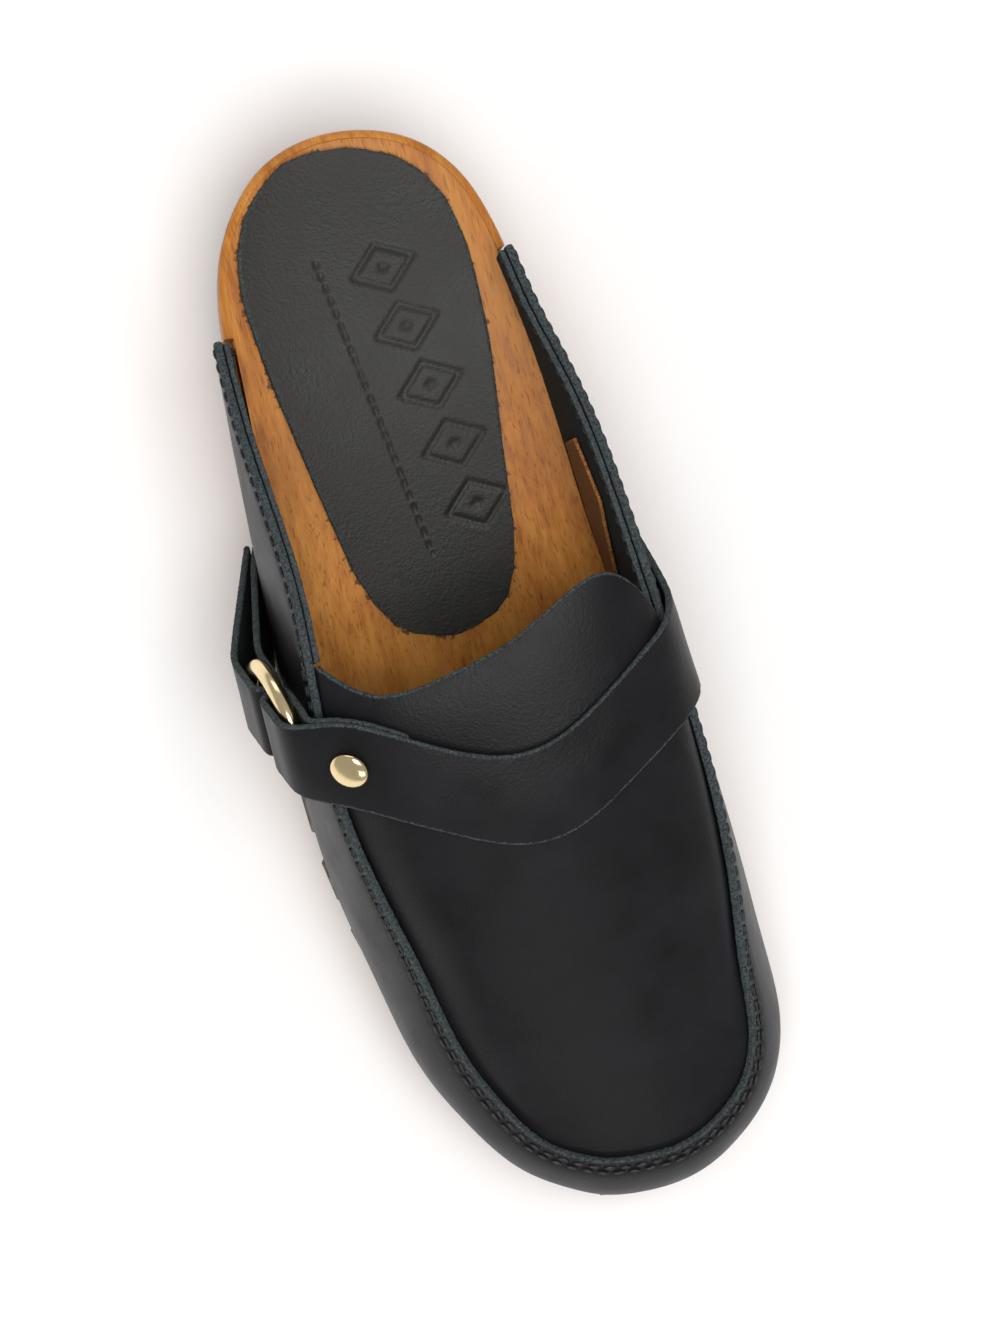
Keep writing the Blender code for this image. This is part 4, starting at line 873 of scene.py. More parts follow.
def under_height(y):
    """The wood's underside: level under the heel, up the breast, over the arch and down to the forepart."""
    profile = np.array(under_profile(0.0))
    return np.where(y < along(BREAST) - .01, TREAD_HEEL, np.interp(y, profile[:, 0], profile[:, 1]))


def pad_sides(share):
    """The sock pad's inner and outer side at a share of the length."""
    folded = np.degrees(np.arccos(1 - 2 * np.asarray(share, float)))
    inner = MIDDLE_X + spline(INNER_EDGE, folded)[:, 0] * BALL_WIDTH
    outer = MIDDLE_X + spline(OUTER_EDGE, folded)[:, 0] * BALL_WIDTH
    middle, half = (inner + outer) / 2, (outer - inner) / 2
    table = np.array(PAD_SHAPE)
    inner_share, outer_share = (np.interp(share, table[:, 0], table[:, k]) for k in (1, 2))
    return middle + inner_share * half, middle + outer_share * half


def pad_shares(count, margin):
    """Shares of the length from the pad's back to its front, close together at both ends."""
    first, last = PAD_SHAPE[0][0], PAD_SHAPE[-1][0]
    return first + (last - first) * (0.5 - 0.5 * np.cos(np.linspace(margin, math.pi - margin, count)))


def pad_outline():
    """The pad's edge seen from above, up its inner side and back down its outer one."""
    shares = pad_shares(90, .02)
    left, right = pad_sides(shares)
    return np.concatenate([np.column_stack([left, along(shares)]),
                           np.column_stack([right, along(shares)])[::-1]])


def finished_sole(looks):
    """The wood: rings from its underside up to the rounded rim, closed by the underside and the footbed."""
    stations = sole_stations()
    half = len(stations)
    clock = np.concatenate([stations[:-1], 360 - stations[:0:-1]])
    edge, _ = outline(clock)
    y = edge[:, 1]
    rim, low = rim_height(y), under_height(y)
    ledge = rim - REBATE_DROP
    winged = (clock > WING_OUTER - .8) & (clock < WING_INNER + .8)

    def taper(z):
        shares = []
        for height, top in zip(z, rim):
            shares.append(np.interp(height, [0, top * .5, top - REBATE_DROP * 1.2], [1, .4, 0]))
        return HEEL_TAPER * np.array(shares)

    def level(inset, height):
        return np.column_stack([outline(clock, inset)[0], height])

    rings = []
    for inset, rise in ((1.3, 0), (.5, .45), (0, 1.1)):
        rings.append(level(taper(low) + inset, low + rise))
    for share in np.linspace(.12, 1, 9):
        z = low + 1.1 + (ledge - low - 1.1) * share
        rings.append(level(taper(z), z))
    notch = np.where(winged, REBATE, 0.0)
    for drop in (REBATE_DROP - .05, REBATE_DROP - .6, 6, EDGE_ROUND):
        rings.append(level(notch, rim - drop))
    for angle in np.radians((25, 50, 72, 90)):
        inset = np.maximum(notch, EDGE_ROUND * (1 - math.cos(angle)))
        rings.append(level(inset, rim - EDGE_ROUND * (1 - math.sin(angle))))
    count = len(clock)
    points = [p for ring in rings for p in ring]
    faces = []
    for i in range(len(rings) - 1):
        for j in range(count):
            k = (j + 1) % count
            faces.append([i * count + j, i * count + k, (i + 1) * count + k, (i + 1) * count + j])

    def cap(ring, height_at, across):
        base = ring * count
        rows = []
        for j in range(1, half - 1):
            first, last = rings[ring][j], rings[ring][count - j]
            row = [base + j]
            for step in range(1, across):
                place = first + (last - first) * (0.5 - 0.5 * math.cos(math.pi * step / across))
                points.append((place[0], place[1], height_at(place, first)))
                row.append(len(points) - 1)
            rows.append(row + [base + count - j])
        for a, b in zip(rows, rows[1:]):
            faces.extend([a[j], a[j + 1], b[j + 1], b[j]] for j in range(across))
        for row, tip in ((rows[0], base), (rows[-1], base + half - 1)):
            faces.extend([tip, row[j], row[j + 1]] for j in range(across))

    cap(len(rings) - 1, lambda place, first: footbed_height(place[0], place[1]), 56)
    cap(0, lambda place, first: first[2], 14)
    points = np.array(points)
    border = pad_outline()
    glue = np.zeros(len(points))
    for n, (x, y_place, z) in enumerate(points):
        if z > rim_height(y_place) - DISH - 2:
            gap = np.min(np.hypot(border[:, 0] - x, border[:, 1] - y_place))
            glue[n] = max(0.0, 1 - max(0.0, gap - .6) / 3.2)
    mesh = finished_mesh("sole_wood", points, faces, {"glue": glue})
    mesh.set_sharp_from_angle(angle=math.radians(38))
    return finished_piece("sole_wood", mesh, looks["stained_alder"], "clog", "wooden_sole")


def motif(across, forward):
    """How deep the pressed row of lozenges and its ruled line are, at a place on the pad in millimetres."""
    depth = 0.0
    for number in range(5):
        x, y = abs(across), abs(forward - (number - 2) * 14.5)
        size = x / 8.5 + y / 6.2
        depth = max(depth, 1 - abs(size - .86) / .16, (1 - size / .28) if size < .28 else 0)
    ruled = 1 - abs(across - 14.0) / .7
    if abs(forward) < 36 and math.sin(forward * 2.1) > -.5:
        depth = max(depth, ruled)
    return min(1.0, max(0.0, depth) * 1.6)


def finished_pad(sizes, looks):
    """The sock pad: a thin sheet on the footbed with its pressed motif."""
    steps = 260
    shares = pad_shares(steps, .06)
    left, right = pad_sides(shares)
    places = border_steps(1.0, .008, .0083)
    across = len(places)
    face = np.zeros((steps, across, 3))
    for i, share in enumerate(shares):
        x = left[i] + (right[i] - left[i]) * places
        y = float(along(share))
        face[i] = np.column_stack([x, np.full(across, y), footbed_height(x, y) + PAD_GAP + PAD])
    turn = math.radians(7)
    dents = np.zeros((steps, across))
    centre = np.array([MIDDLE_X - 2.0, float(along(.245))])
    for i in range(steps):
        for j in range(across):
            dx, dy = face[i, j, 0] - centre[0], face[i, j, 1] - centre[1]
            if abs(dx) < 22 and abs(dy) < 40:
                dents[i, j] = -motif(dx * math.cos(turn) + dy * math.sin(turn),
                                     dy * math.cos(turn) - dx * math.sin(turn))
    dents *= sizes.motif_depth / MM
    mesh = leather_sheet("pad", face, (MIDDLE_X, 0, -400), PAD + .15, .6, ragged=.12, dents=dents)
    return finished_piece("pad", mesh, looks["sock_leather"], "clog", "sock_pad")


# ---------------------------------------------------------------- the upper
def close_stations(first, last, count, edge_turn=1.2):
    """Clock angles along the wall, close together at its two cut ends."""
    near = np.array([0, .12, .3, .6]) * edge_turn
    return np.concatenate([first + near, np.linspace(first + edge_turn, last - edge_turn, count),
                           (last - near)[::-1]])


def wall_at(clock, rows=61):
    """The wall's outer face at clock angles of any spacing."""
    even = wall_grid(clock[0], clock[-1], 1200, rows)
    at = np.interp(clock, np.linspace(clock[0], clock[-1], 1200), np.arange(1200))
    low = np.clip(at.astype(int), 0, 1198)
    share = (at - low)[None, :, None]
    return even[:, low] * (1 - share) + even[:, low + 1] * share


def down_from_top(clock, pitch, edge):
    """The wall's outer face with its rows counted down from the top edge, close together near it."""
    grid = wall_at(clock)[::-1]
    height = walked_rows(grid)[-1]
    tallest = float(np.max(height))
    steps = []
    for share in border_steps(1.0, edge / tallest, pitch / tallest):
        drop = share * tallest
        steps.append(np.minimum(drop, height * share if drop > edge * 2 else height))
    steps = np.array(steps)
    return columns_at(grid, np.maximum.accumulate(steps, axis=0)), steps


def seam_dents(clock, steps, sizes, walked):
    """The wall draws in under its stitches: a shallow channel on both rows, pinched once at every stitch."""
    seam = np.clip(np.minimum(clock - THROAT_OUTER, THROAT_INNER - clock) / 3, 0, 1)
    wing = 1 - seam
    first = sizes.edge_to_row / MM
    second = first + sizes.row_gap / MM
    pinch = .5 + .5 * np.cos(2 * math.pi * walked / (sizes.stitch_pitch / MM))
    middle = (first + second) / 2
    seam_shape = np.exp(-((steps - middle) / 1.5) ** 2) * (.30 + .14 * pinch)
    lip = np.exp(-((steps - .7) / .7) ** 2) * .12
    wing_shape = np.exp(-((steps - first) / .8) ** 2) * (.22 + .12 * pinch)
    return -(seam_shape - lip) * seam - wing_shape * wing


def finished_wall(sizes, looks):
    """The wall from wing to wing round the toe, drawn in under its stitches."""
    clock = close_stations(WING_OUTER, WING_INNER, 760)
    edge = sizes.edge_round / MM
    face, steps = down_from_top(clock, 1.7, edge)
    walked = walked_columns(face)[6]
    dents = seam_dents(clock, steps, sizes, walked)
    mesh = leather_sheet("wall", face, (MIDDLE_X, MIDDLE_Y, 40), LEATHER, edge, dents=dents)
    return finished_piece("wall", mesh, looks["smooth_leather"], "clog", "side_wrap")


def lining_face(first, last, count, depth, low_gap, top_drop):
    """A face a depth inside the wall, between a height above the rim and a drop below the top edge."""
    clock = close_stations(first, last, count, .8)
    inner = inside_wall(wall_at(clock), depth)[::-1]
    walked = walked_rows(inner)
    rows = []
    for j in range(len(clock)):
        foot = float(rim_height(inner[-1, j, 1])) + low_gap
        bottom = np.interp(-foot, -inner[:, j, 2], walked[:, j])
        rows.append(top_drop(clock[j]) + (bottom - top_drop(clock[j])) * border_steps(1.0, .012, .026))
    return columns_at(inner, np.array(rows).T)


def finished_linings(looks):
    """The two linings inside the wings."""
    for name, first, last in (("outer", WING_OUTER + .35, THROAT_OUTER - .4),
                              ("inner", THROAT_INNER + .4, WING_INNER - .35)):
        face = lining_face(first, last, 170, LEATHER + FIT, 1.1, lambda clock: 0.05)
        mesh = leather_sheet(f"{name}_wing_lining", face, (MIDDLE_X, MIDDLE_Y, 40), LINING, .4, ragged=.16)
        finished_piece(f"{name}_wing_lining", mesh, looks["lining_leather"], "clog", f"lining_{name}")


def finished_patch(looks):
    """The tan patch inside the inner wing, cut to a blunt point at its top."""
    depth = LEATHER + LINING + 2 * FIT
    clock = close_stations(PATCH_FIRST, PATCH_LAST, 60, .8)
    inner = inside_wall(wall_at(clock), depth)[::-1]
    walked = walked_rows(inner)
    rows = []
    for j, angle in enumerate(clock):
        rim = float(rim_height(inner[-1, j, 1]))
        slant = abs((angle - PATCH_FIRST) / (PATCH_LAST - PATCH_FIRST) * 11 - 5.5) * 1.8
        top, bottom = (np.interp(-(rim + rise), -inner[:, j, 2], walked[:, j]) for rise in (32 - slant, 10))
        rows.append(top + (bottom - top) * border_steps(1.0, .015, .03))
    face = columns_at(inner, np.array(rows).T)
    mesh = leather_sheet("tan_patch", face, (MIDDLE_X, MIDDLE_Y, 40), PATCH, .3, ragged=.08)
    return finished_piece("tan_patch", mesh, looks["tan_leather"], "clog", "lining_patch")


def plug_faces():
    """The plug's open face, and the outer, toe and inner margins that lap under the wall."""
    rows, columns = 120, 120
    places = np.concatenate([[0, .0012, .003, .006, .011], np.linspace(.018, 1, rows - 5)])
    grid = apron_grid(columns - 1, 40)
    at = np.linspace(0, 1, 41)
    face = np.stack([spline(np.column_stack([at, grid[:, j]]), places) for j in range(columns)], 1)
    margins = []
    for clock in (THROAT_OUTER + (CORNER_OUTER - THROAT_OUTER) * places,
                  np.linspace(CORNER_OUTER, CORNER_INNER, columns),
                  (THROAT_INNER + (CORNER_INNER - THROAT_INNER) * places)[::-1]):
        drops = np.array([[drop] * len(clock) for drop in (2, 4, 6, 8)], float)
        margins.append(columns_at(inside_wall(wall_at(clock)[::-1], LEATHER + FIT), drops))
    return face, margins


def plug_mesh(sizes):
    """The closed plug: its face and margins, rounded and bare-edged only where it is cut at the throat."""
    face, (outer, toe, inner) = plug_faces()
    rows, columns = face.shape[:2]
    normals = grid_normals(face, (MIDDLE_X, MIDDLE_Y, 0))
    edge = sizes.edge_round / MM
    down = walked_rows(face)
    inside = np.clip(down, 0, edge)
    drop = edge - np.sqrt(np.maximum(edge ** 2 - (edge - inside) ** 2, 0))
    bare = np.clip(1 - down / 1.7, 0, 1)
    thick = LEATHER - .3
    upper = face - normals * drop[:, :, None]
    lower = face - normals * (thick - drop)[:, :, None]
    fray((upper, lower), bare, RAGGED)
    border = [(i, 0) for i in range(rows)] + [(rows - 1, j) for j in range(1, columns)]
    border += [(i, columns - 1) for i in range(rows - 2, -1, -1)]
    margin = np.concatenate([outer, toe[:, 1:], inner[:, 1:]], axis=1)
    hidden = grid_normals(margin, (MIDDLE_X, MIDDLE_Y, 40))
    points = list(upper.reshape(-1, 3)) + list(lower.reshape(-1, 3))
    back = rows * columns
    faces = grid_faces(rows, columns) + [quad[::-1] for quad in grid_faces(rows, columns, back)]
    faces += [[j - 1, j, back + j, back + j - 1] for j in range(1, columns)]
    ids = [i * columns + j for i, j in border]
    before = (ids, [back + k for k in ids])
    for level in range(4):
        now = []
        for depth in (0, thick):
            start = len(points)
            points += list(margin[level] - hidden[level] * depth)
            now.append(list(range(start, start + len(ids))))
        for side in (0, 1):
            faces += [[before[side][k], before[side][k + 1], now[side][k + 1], now[side][k]]
                      for k in range(len(ids) - 1)]
        for end in (0, -1):
            faces.append([before[0][end], before[1][end], now[1][end], now[0][end]])
        before = now
    faces += [[before[0][k], before[0][k + 1], before[1][k + 1], before[1][k]] for k in range(len(ids) - 1)]
    rest = len(points) - 2 * back
    marks = {"cut": np.concatenate([bare.ravel(), bare.ravel(), np.zeros(rest)]),
             "flesh": np.concatenate([np.zeros(back), np.ones(back), np.zeros(rest)])}
    return finished_mesh("plug", points, faces, marks)


# ---------------------------------------------------------------- strap, tab, ring and rivet
def strap_seat():
    """The strap's search tree over the frame's wall and apron, its lowest height, and the ring's seat."""
    tree = tree_of([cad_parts["side_wrap"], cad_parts["apron"]], bowed=True)

    def low(y):
        return float(rim_height(y - STRAP_BOW)) - REBATE_DROP + 1.5

    return tree, low, RingSeat(tree, low)


def strip_face(seat, lines, across, along_steps):
    """The middle layer of a strip, from its lines at shares of its width, read again finely both ways."""
    shares = np.linspace(-1, 1, len(lines))
    control = []
    for share, line in zip(shares, lines):
        halves = [share * half_width(np.linalg.norm(pair - seat.middle)) for pair in line]
        control.append([solid_point(pair, half) for pair, half in zip(line, halves)])
    control = np.array(control)
    walked = walked_columns(control).mean(axis=0)
    length = walked[-1]
    at = border_steps(length, .5, length / along_steps)
    fine = np.stack([spline(np.column_stack([walked, line]), at) for line in control])
    places = border_steps(STRAP_WIDTH, .5, STRAP_WIDTH / across) / STRAP_WIDTH * 2 - 1
    return np.stack([spline(np.column_stack([shares, fine[:, j]]), places) for j in range(fine.shape[1])], 1)


def strip_piece(name, seat, line_maker, tree, low, sizes, looks, node):
    """A strip of leather along a line at five places across it. It gives back the middle line."""
    shares = np.linspace(-1, 1, 5)
    lines = [line_maker(seat, tree, low, share * STRAP_WIDTH / 2) for share in shares]
    middle = strip_face(seat, lines, 26, 420)
    normals = grid_normals(middle, HUB)
    mesh = leather_sheet(name, middle + normals * STRAP_LEATHER / 2, HUB, STRAP_LEATHER,
                         sizes.edge_round / MM)
    finished_piece(name, mesh, looks["smooth_leather"], "clog", node)
    return lines[2]


def finished_ring(seat, looks):
    """The cast ring, a flattened hoop on its seat."""
    middle = (RING_INNER + RING_WIRE) / 2
    section = [(middle + RING_WIRE / 2 * math.cos(a), RING_THICKNESS / 2 * math.sin(a))
               for a in np.linspace(0, 2 * math.pi, 33)]
    axis = ACROSS_WAY * seat.out[0] + PLANE_WAY * seat.out[1]
    mesh = turned("cast_ring", section, 128, solid_point(seat.middle, 0), axis)
    return finished_piece("cast_ring", mesh, looks["gold_plate"], "ring", "ring")


def finished_rivet(seat, line, looks):
    """The domed cap through both layers of the strap, and its foot beneath them."""
    points = np.array(line)
    outer = [k for k in range(STRAP_STEPS) if points[k][0] > 0]
    at = min(outer, key=lambda k: abs(np.linalg.norm(points[k] - seat.middle) - RIVET_FROM_RING))
    way = points[at - 1] - points[at + 1]
    way /= np.linalg.norm(way)
    out = np.array([way[1], -way[0]])
    axis = ACROSS_WAY * out[0] + PLANE_WAY * out[1]
    face = solid_point(points[at] + out * (STRAP_LEATHER / 2), 0)
    cap = RIVET_CAP / 2
    dome = [(cap * math.sin(a) if a else 0.0, RIVET_LIFT + .25 + 1.65 * math.cos(a))
            for a in np.linspace(0, math.pi / 2, 28)]
    rim = [(cap, RIVET_LIFT + .1), (cap - .12, RIVET_LIFT - .1), (cap - .5, RIVET_LIFT - .12)]
    pin = RIVET_POST / 2 - .6
    stack = 2 * STRAP_LEATHER + FIT
    post = [(pin, RIVET_LIFT - .12), (pin, -stack), (0, -stack)]
    mesh = turned("dome_cap", dome + rim + post, 96, face, axis)
    finished_piece("dome_cap", mesh, looks["gold_plate"], "clog", "rivet_cap")
    low = -stack - RIVET_EASE
    flange = RIVET_CAP * .32
    tube = [(0, low - .05), (pin + .3, low - .05), (pin + .3, -.3), (RIVET_POST / 2, -.3),
            (RIVET_POST / 2, low), (flange - .2, low), (flange, low - .25),
            (flange, low - RIVET_BACK + .2), (flange - .2, low - RIVET_BACK), (0, low - RIVET_BACK)]
    mesh = turned("rivet_foot", tube, 64, face, axis)
    finished_piece("rivet_foot", mesh, looks["gold_plate"], "clog", "rivet_back")


# ---------------------------------------------------------------- stitches
def stitch_tree():
    """Geometry Nodes: a stitch at every pitch along a line, its flat side turned by the line's "out"."""
    tree = bpy.data.node_groups.new("stitch_row", "GeometryNodeTree")
    face = tree.interface
    face.new_socket("Geometry", in_out="OUTPUT", socket_type="NodeSocketGeometry")
    face.new_socket("Geometry", in_out="INPUT", socket_type="NodeSocketGeometry")
    for name, kind in (("Pitch", "Float"), ("Length", "Float"), ("Width", "Float"), ("Slant", "Float"),
                       ("Seed", "Int"), ("Material", "Material")):
        face.new_socket(name, in_out="INPUT", socket_type=f"NodeSocket{kind}")
    given = add_node(tree, "NodeGroupInput").outputs
    line = add_node(tree, "GeometryNodeMeshToCurve", {0: given["Geometry"]})
    spaced = add_node(tree, "GeometryNodeResampleCurve", {"Curve": line.outputs[0], "Length": given["Pitch"]},
                      mode="LENGTH")
    thread = add_node(tree, "GeometryNodeMeshUVSphere", {"Segments": 8, "Rings": 7, "Radius": .5})
    size = add_node(tree, "ShaderNodeCombineXYZ", {0: given["Length"], 1: given["Width"], 2: given["Width"]})
    laid = add_node(tree, "GeometryNodeTransform", {"Geometry": thread.outputs[0], "Scale": size.outputs[0]})
    out = add_node(tree, "GeometryNodeInputNamedAttribute", {"Name": "out"}, data_type="FLOAT_VECTOR")
    upright = add_node(tree, "FunctionNodeAlignRotationToVector", {"Vector": out.outputs[0]}, axis="Z")
    way = add_node(tree, "GeometryNodeInputTangent")
    along_line = add_node(tree, "FunctionNodeAlignRotationToVector",
                          {"Rotation": upright.outputs[0], "Vector": way.outputs[0]},
                          axis="X", pivot_axis="Z")
    wander = add_node(tree, "FunctionNodeRandomValue", {2: -.07, 3: .07, "Seed": given["Seed"]},
                      data_type="FLOAT")
    lean = add_node(tree, "ShaderNodeMath", {0: wander.outputs[1], 1: given["Slant"]}, operation="ADD")
    yaw = add_node(tree, "ShaderNodeCombineXYZ", {2: lean.outputs[0]})
    turn = add_node(tree, "FunctionNodeEulerToRotation", {0: yaw.outputs[0]})
    slanted = add_node(tree, "FunctionNodeRotateRotation", {0: along_line.outputs[0], 1: turn.outputs[0]},
                       rotation_space="LOCAL")
    placed = add_node(tree, "GeometryNodeInstanceOnPoints",
                      {"Points": spaced.outputs[0], "Instance": laid.outputs[0],
                                                             "Rotation": slanted.outputs[0]})
    real = add_node(tree, "GeometryNodeRealizeInstances", {0: placed.outputs[0]})
    smooth = add_node(tree, "GeometryNodeSetShadeSmooth", {0: real.outputs[0]})
    painted = add_node(tree, "GeometryNodeSetMaterial",
                       {"Geometry": smooth.outputs[0], "Material": given["Material"]})
    add_node(tree, "NodeGroupOutput", {0: painted.outputs[0]})
    return tree


def line_object(name, points, outs):
    """A line of points in metres that carries which way is out at each of them."""
    mesh = bpy.data.meshes.new(name)
    mesh.from_pydata((np.asarray(points) * MM).tolist(), [(k, k + 1) for k in range(len(points) - 1)], [])
    mark = mesh.attributes.new("out", "FLOAT_VECTOR", "POINT")
    mark.data.foreach_set("vector", np.asarray(outs, np.float32).ravel())
    made = bpy.data.objects.new(name, mesh)
    bpy.context.scene.collection.objects.link(made)
    return made


def grown_from(guide, tree, values):
    """Run a node tree on a guide object, and leave its result as a plain mesh."""
    grower = guide.modifiers.new(tree.name, "NODES")
    grower.node_group = tree
    for item in tree.interface.items_tree:
        if item.in_out == "INPUT" and item.name in values:
            grower[item.identifier] = values[item.name]
    guide.update_tag()
    graph = bpy.context.evaluated_depsgraph_get()
    graph.update()
    mesh = bpy.data.meshes.new_from_object(guide.evaluated_get(graph))
    guide.modifiers.clear()
    bpy.data.objects.remove(guide)
    if len(mesh.polygons) == 0:
        raise RuntimeError(f"{tree.name} made nothing")
    return mesh


def wall_line(first, last, drop, lift, inside=0.0):
    """A line along the wall a drop below its top edge, lifted off its face, and which way is out there."""
    clock = np.linspace(first, last, 600)
    grid = wall_at(clock, 61)
    if inside:
        grid = inside_wall(grid, inside)
    grid = grid[::-1]
    normals = grid_normals(grid, (MIDDLE_X, MIDDLE_Y, 40)) * (-1 if inside else 1)
    walked = walked_rows(grid)
    points, outs = [], []
    for j in range(len(clock)):
        point = np.array([np.interp(drop, walked[:, j], grid[:, j, k]) for k in range(3)])
        out = np.array([np.interp(drop, walked[:, j], normals[:, j, k]) for k in range(3)])
        points.append(point + out * lift)
        outs.append(out)
    return np.array(points), np.array(outs)


def finished_stitches(sizes, looks):
    """Both rows of the seam and the rows along the wings, outside and within."""
    tree = stitch_tree()
    row = sizes.edge_to_row / MM
    gap = sizes.row_gap / MM
    within = LEATHER + FIT + LINING
    rows = {
        "seam_row_inner": wall_line(THROAT_OUTER + .6, THROAT_INNER - .6, row, -.12),
        "seam_row_outer": wall_line(THROAT_OUTER + .6, THROAT_INNER - .6, row + gap, -.12),
        "outer_wing_row": wall_line(WING_OUTER + 1.6, THROAT_OUTER - .2, row, .02),
        "inner_wing_row": wall_line(THROAT_INNER + .2, WING_INNER - 1.6, row, .02),
        "outer_wing_row_within": wall_line(WING_OUTER + 1.6, THROAT_OUTER - 1.6, row, .0, within),
        "inner_wing_row_within": wall_line(THROAT_INNER + 1.6, WING_INNER - 1.6, row, .0, within),
    }
    for seed, (name, (points, outs)) in enumerate(rows.items()):
        values = {"Pitch": sizes.stitch_pitch, "Length": sizes.stitch_length, "Width": sizes.thread_width,
                  "Slant": .05, "Seed": seed + 3, "Material": looks["waxed_thread"]}
        mesh = grown_from(line_object(name, points, outs), tree, values)
        finished_piece(name, mesh, looks["waxed_thread"], "clog")


# ---------------------------------------------------------------- the stage
# The camera looks down on the clog, leaning a little over its outer side, with the heel at the top.
CAMERA_LEAN = math.radians(5.0)
CAMERA_TWIST = math.radians(15.7)
CAMERA_DISTANCE = 1.15
CAMERA_TARGET = Vector((MIDDLE_X, .8, 45)) * MM


def soft_light(name, place, target, width, height, power):
    """A rectangular lamp that looks at a target."""
    lamp = bpy.data.lights.new(name, "AREA")
    lamp.shape = "RECTANGLE"
    lamp.size, lamp.size_y = width, height
    lamp.energy = power
    made = bpy.data.objects.new(name, lamp)
    bpy.context.scene.collection.objects.link(made)
    made.location = place
    made.rotation_mode = "QUATERNION"
    made.rotation_quaternion = (Vector(target) - Vector(place)).to_track_quat("-Z", "Y")
    return made


def studio(colours):
    """A wide pale floor, a soft sky and large lamps over the shoe, and the camera above it."""
    mesh = bpy.data.meshes.new("floor")
    mesh.from_pydata([(-3, -3, 0), (3, -3, 0), (3, 3, 0), (-3, 3, 0)], [], [(0, 1, 2, 3)])
    floor = bpy.data.objects.new("floor", mesh)
    bpy.context.scene.collection.objects.link(floor)
    floor.location.z = -.0004
    look, tree, shader = new_look("matt_paper", .95, Specular_IOR_Level=0.0)
    place = add_node(tree, "ShaderNodeTexCoord").outputs["Object"]
    tooth = add_node(tree, "ShaderNodeTexNoise", {"Vector": place, "Scale": per_metre(2)})
    paper = mixed(tree, tooth.outputs[0], tuple(c * .985 for c in colours.floor), tuple(colours.floor))
    tree.links.new(paper, shader.inputs["Base Color"])
    mesh.materials.append(look)

    world = bpy.data.worlds.new("soft_sky")
    world.use_nodes = True
    world.node_tree.nodes["Background"].inputs[0].default_value = (1, 1, 1, 1)
    world.node_tree.nodes["Background"].inputs[1].default_value = .41
    bpy.context.scene.world = world

    middle = (-.0076, 0, .04)
    soft_light("key", (.02, .16, 1.25), middle, .6, .6, 10.5)
    soft_light("heel_side", (.0, -1.0, .6), middle, .9, .4, 1.6)
    soft_light("toe_side", (.10, 1.0, .5), middle, .6, .3, 1.3)

    lens = bpy.data.cameras.new("camera")
    lens.lens = 135
    lens.sensor_width = 36
    lens.clip_start, lens.clip_end = .05, 50
    camera = bpy.data.objects.new("camera", lens)
    bpy.context.scene.collection.objects.link(camera)
    back = Vector((math.sin(CAMERA_LEAN), 0, 1)).normalized()
    right = Vector((-math.cos(CAMERA_TWIST), math.sin(CAMERA_TWIST), 0))
    right = (right - back * right.dot(back)).normalized()
    camera.location = CAMERA_TARGET + back * CAMERA_DISTANCE
    camera.rotation_mode = "QUATERNION"
    camera.rotation_quaternion = Matrix((right, back.cross(right), back)).transposed().to_quaternion()
    bpy.context.scene.camera = camera
    bpy.context.scene.view_settings.view_transform = "Standard"


# ---------------------------------------------------------------- operators
class CLOG_OT_sole(bpy.types.Operator):
    """Carve the stained wooden sole with its dished footbed"""
    bl_idname = "clog.sole"
    bl_label = "Wooden sole"

    def execute(self, context):
        colours = context.scene.clog_colours
        finished_sole(looks_of(colours))
        return {"FINISHED"}


class CLOG_OT_treads(bpy.types.Operator):
    """Give the heel and forepart treads their rubber"""
    bl_idname = "clog.treads"
    bl_label = "Treads"

    def execute(self, context):
        colours = context.scene.clog_colours
        for node in ("heel_tread", "forepart_outsole"):
            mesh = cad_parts[node].data
            mesh.materials.clear()
            mesh.materials.append(looks_of(colours)["moulded_rubber"])
        return {"FINISHED"}


class CLOG_OT_pad(bpy.types.Operator):
    """Lay the leather sock pad with its pressed motif"""
    bl_idname = "clog.pad"
    bl_label = "Sock pad"

    def execute(self, context):
        colours = context.scene.clog_colours
        sizes = context.scene.clog_sizes
        finished_pad(sizes, looks_of(colours))
        return {"FINISHED"}


class CLOG_OT_upper(bpy.types.Operator):
    """Form the wall, its linings and patch, and the plug"""
    bl_idname = "clog.upper"
    bl_label = "Upper"

    def execute(self, context):
        colours = context.scene.clog_colours
        sizes = context.scene.clog_sizes
        looks = looks_of(colours)
        finished_wall(sizes, looks)
        finished_linings(looks)
        finished_patch(looks)
        finished_piece("plug", plug_mesh(sizes), looks["smooth_leather"], "clog", "apron")
        return {"FINISHED"}


class CLOG_OT_stitches(bpy.types.Operator):
    """Sew the plug's double seam and the wings' single rows"""
    bl_idname = "clog.stitches"
    bl_label = "Stitches"

    def execute(self, context):
        colours = context.scene.clog_colours
        sizes = context.scene.clog_sizes
        finished_stitches(sizes, looks_of(colours))
        return {"FINISHED"}


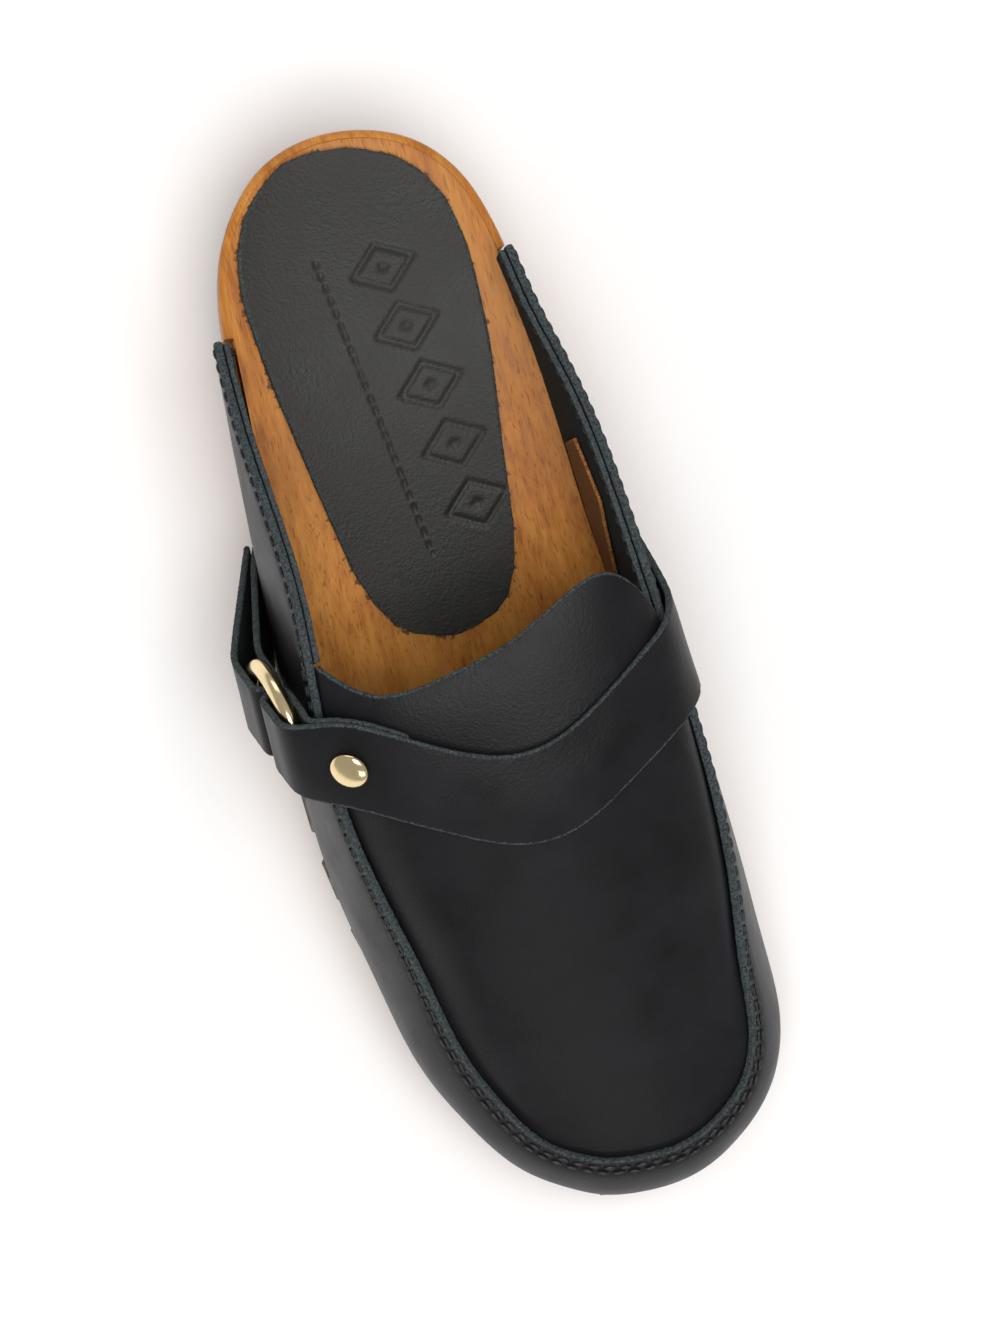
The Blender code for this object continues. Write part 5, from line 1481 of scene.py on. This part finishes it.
class CLOG_OT_strap(bpy.types.Operator):
    """Fit the instep strap, its tab, the ring and the rivet"""
    bl_idname = "clog.strap"
    bl_label = "Strap and ring"

    def execute(self, context):
        colours = context.scene.clog_colours
        sizes = context.scene.clog_sizes
        looks = looks_of(colours)
        tree, low, seat = strap_seat()
        line = strip_piece("strap", seat, strap_line, tree, low, sizes, looks, "instep_strap")
        strip_piece("tab", seat, tab_line, tree, low, sizes, looks, "strap_tab")
        finished_ring(seat, looks)
        finished_rivet(seat, line, looks)
        return {"FINISHED"}


class CLOG_OT_staples(bpy.types.Operator):
    """Plate the staples round the wall's foot"""
    bl_idname = "clog.staples"
    bl_label = "Staples"

    def execute(self, context):
        colours = context.scene.clog_colours
        for name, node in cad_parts.items():
            if name.startswith("staple_"):
                node.data.materials.clear()
                node.data.materials.append(looks_of(colours)["staple_wire"])
        return {"FINISHED"}


class CLOG_OT_stage(bpy.types.Operator):
    """Set the floor, the light and the camera"""
    bl_idname = "clog.stage"
    bl_label = "Stage"

    def execute(self, context):
        colours = context.scene.clog_colours
        studio(colours)
        return {"FINISHED"}


class CLOG_PT_panel(bpy.types.Panel):
    """The clog's pieces and settings"""
    bl_label = "Wooden clog"
    bl_space_type = "VIEW_3D"
    bl_region_type = "UI"
    bl_category = "Clog"

    def draw(self, context):
        layout = self.layout
        for operator in OPERATORS:
            layout.operator(operator.bl_idname)
        for group in (context.scene.clog_colours, context.scene.clog_sizes):
            box = layout.box()
            for name in group.__annotations__:
                box.prop(group, name)


OPERATORS = (CLOG_OT_sole, CLOG_OT_treads, CLOG_OT_pad, CLOG_OT_upper, CLOG_OT_stitches, CLOG_OT_strap,
             CLOG_OT_staples, CLOG_OT_stage)
CLASSES = (ClogColours, ClogSizes, *OPERATORS, CLOG_PT_panel)


def register():
    """Adds the operators, the panel and the scene's settings."""
    for made in CLASSES:
        bpy.utils.register_class(made)
    bpy.types.Scene.clog_colours = bpy.props.PointerProperty(type=ClogColours)
    bpy.types.Scene.clog_sizes = bpy.props.PointerProperty(type=ClogSizes)


def unregister():
    """Takes them away again, last first."""
    del bpy.types.Scene.clog_colours
    del bpy.types.Scene.clog_sizes
    for made in reversed(CLASSES):
        bpy.utils.unregister_class(made)


def main():
    """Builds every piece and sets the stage."""
    register()
    for operator in OPERATORS:
        group, name = operator.bl_idname.split(".")
        getattr(getattr(bpy.ops, group), name)()


if __name__ == "__main__":
    main()
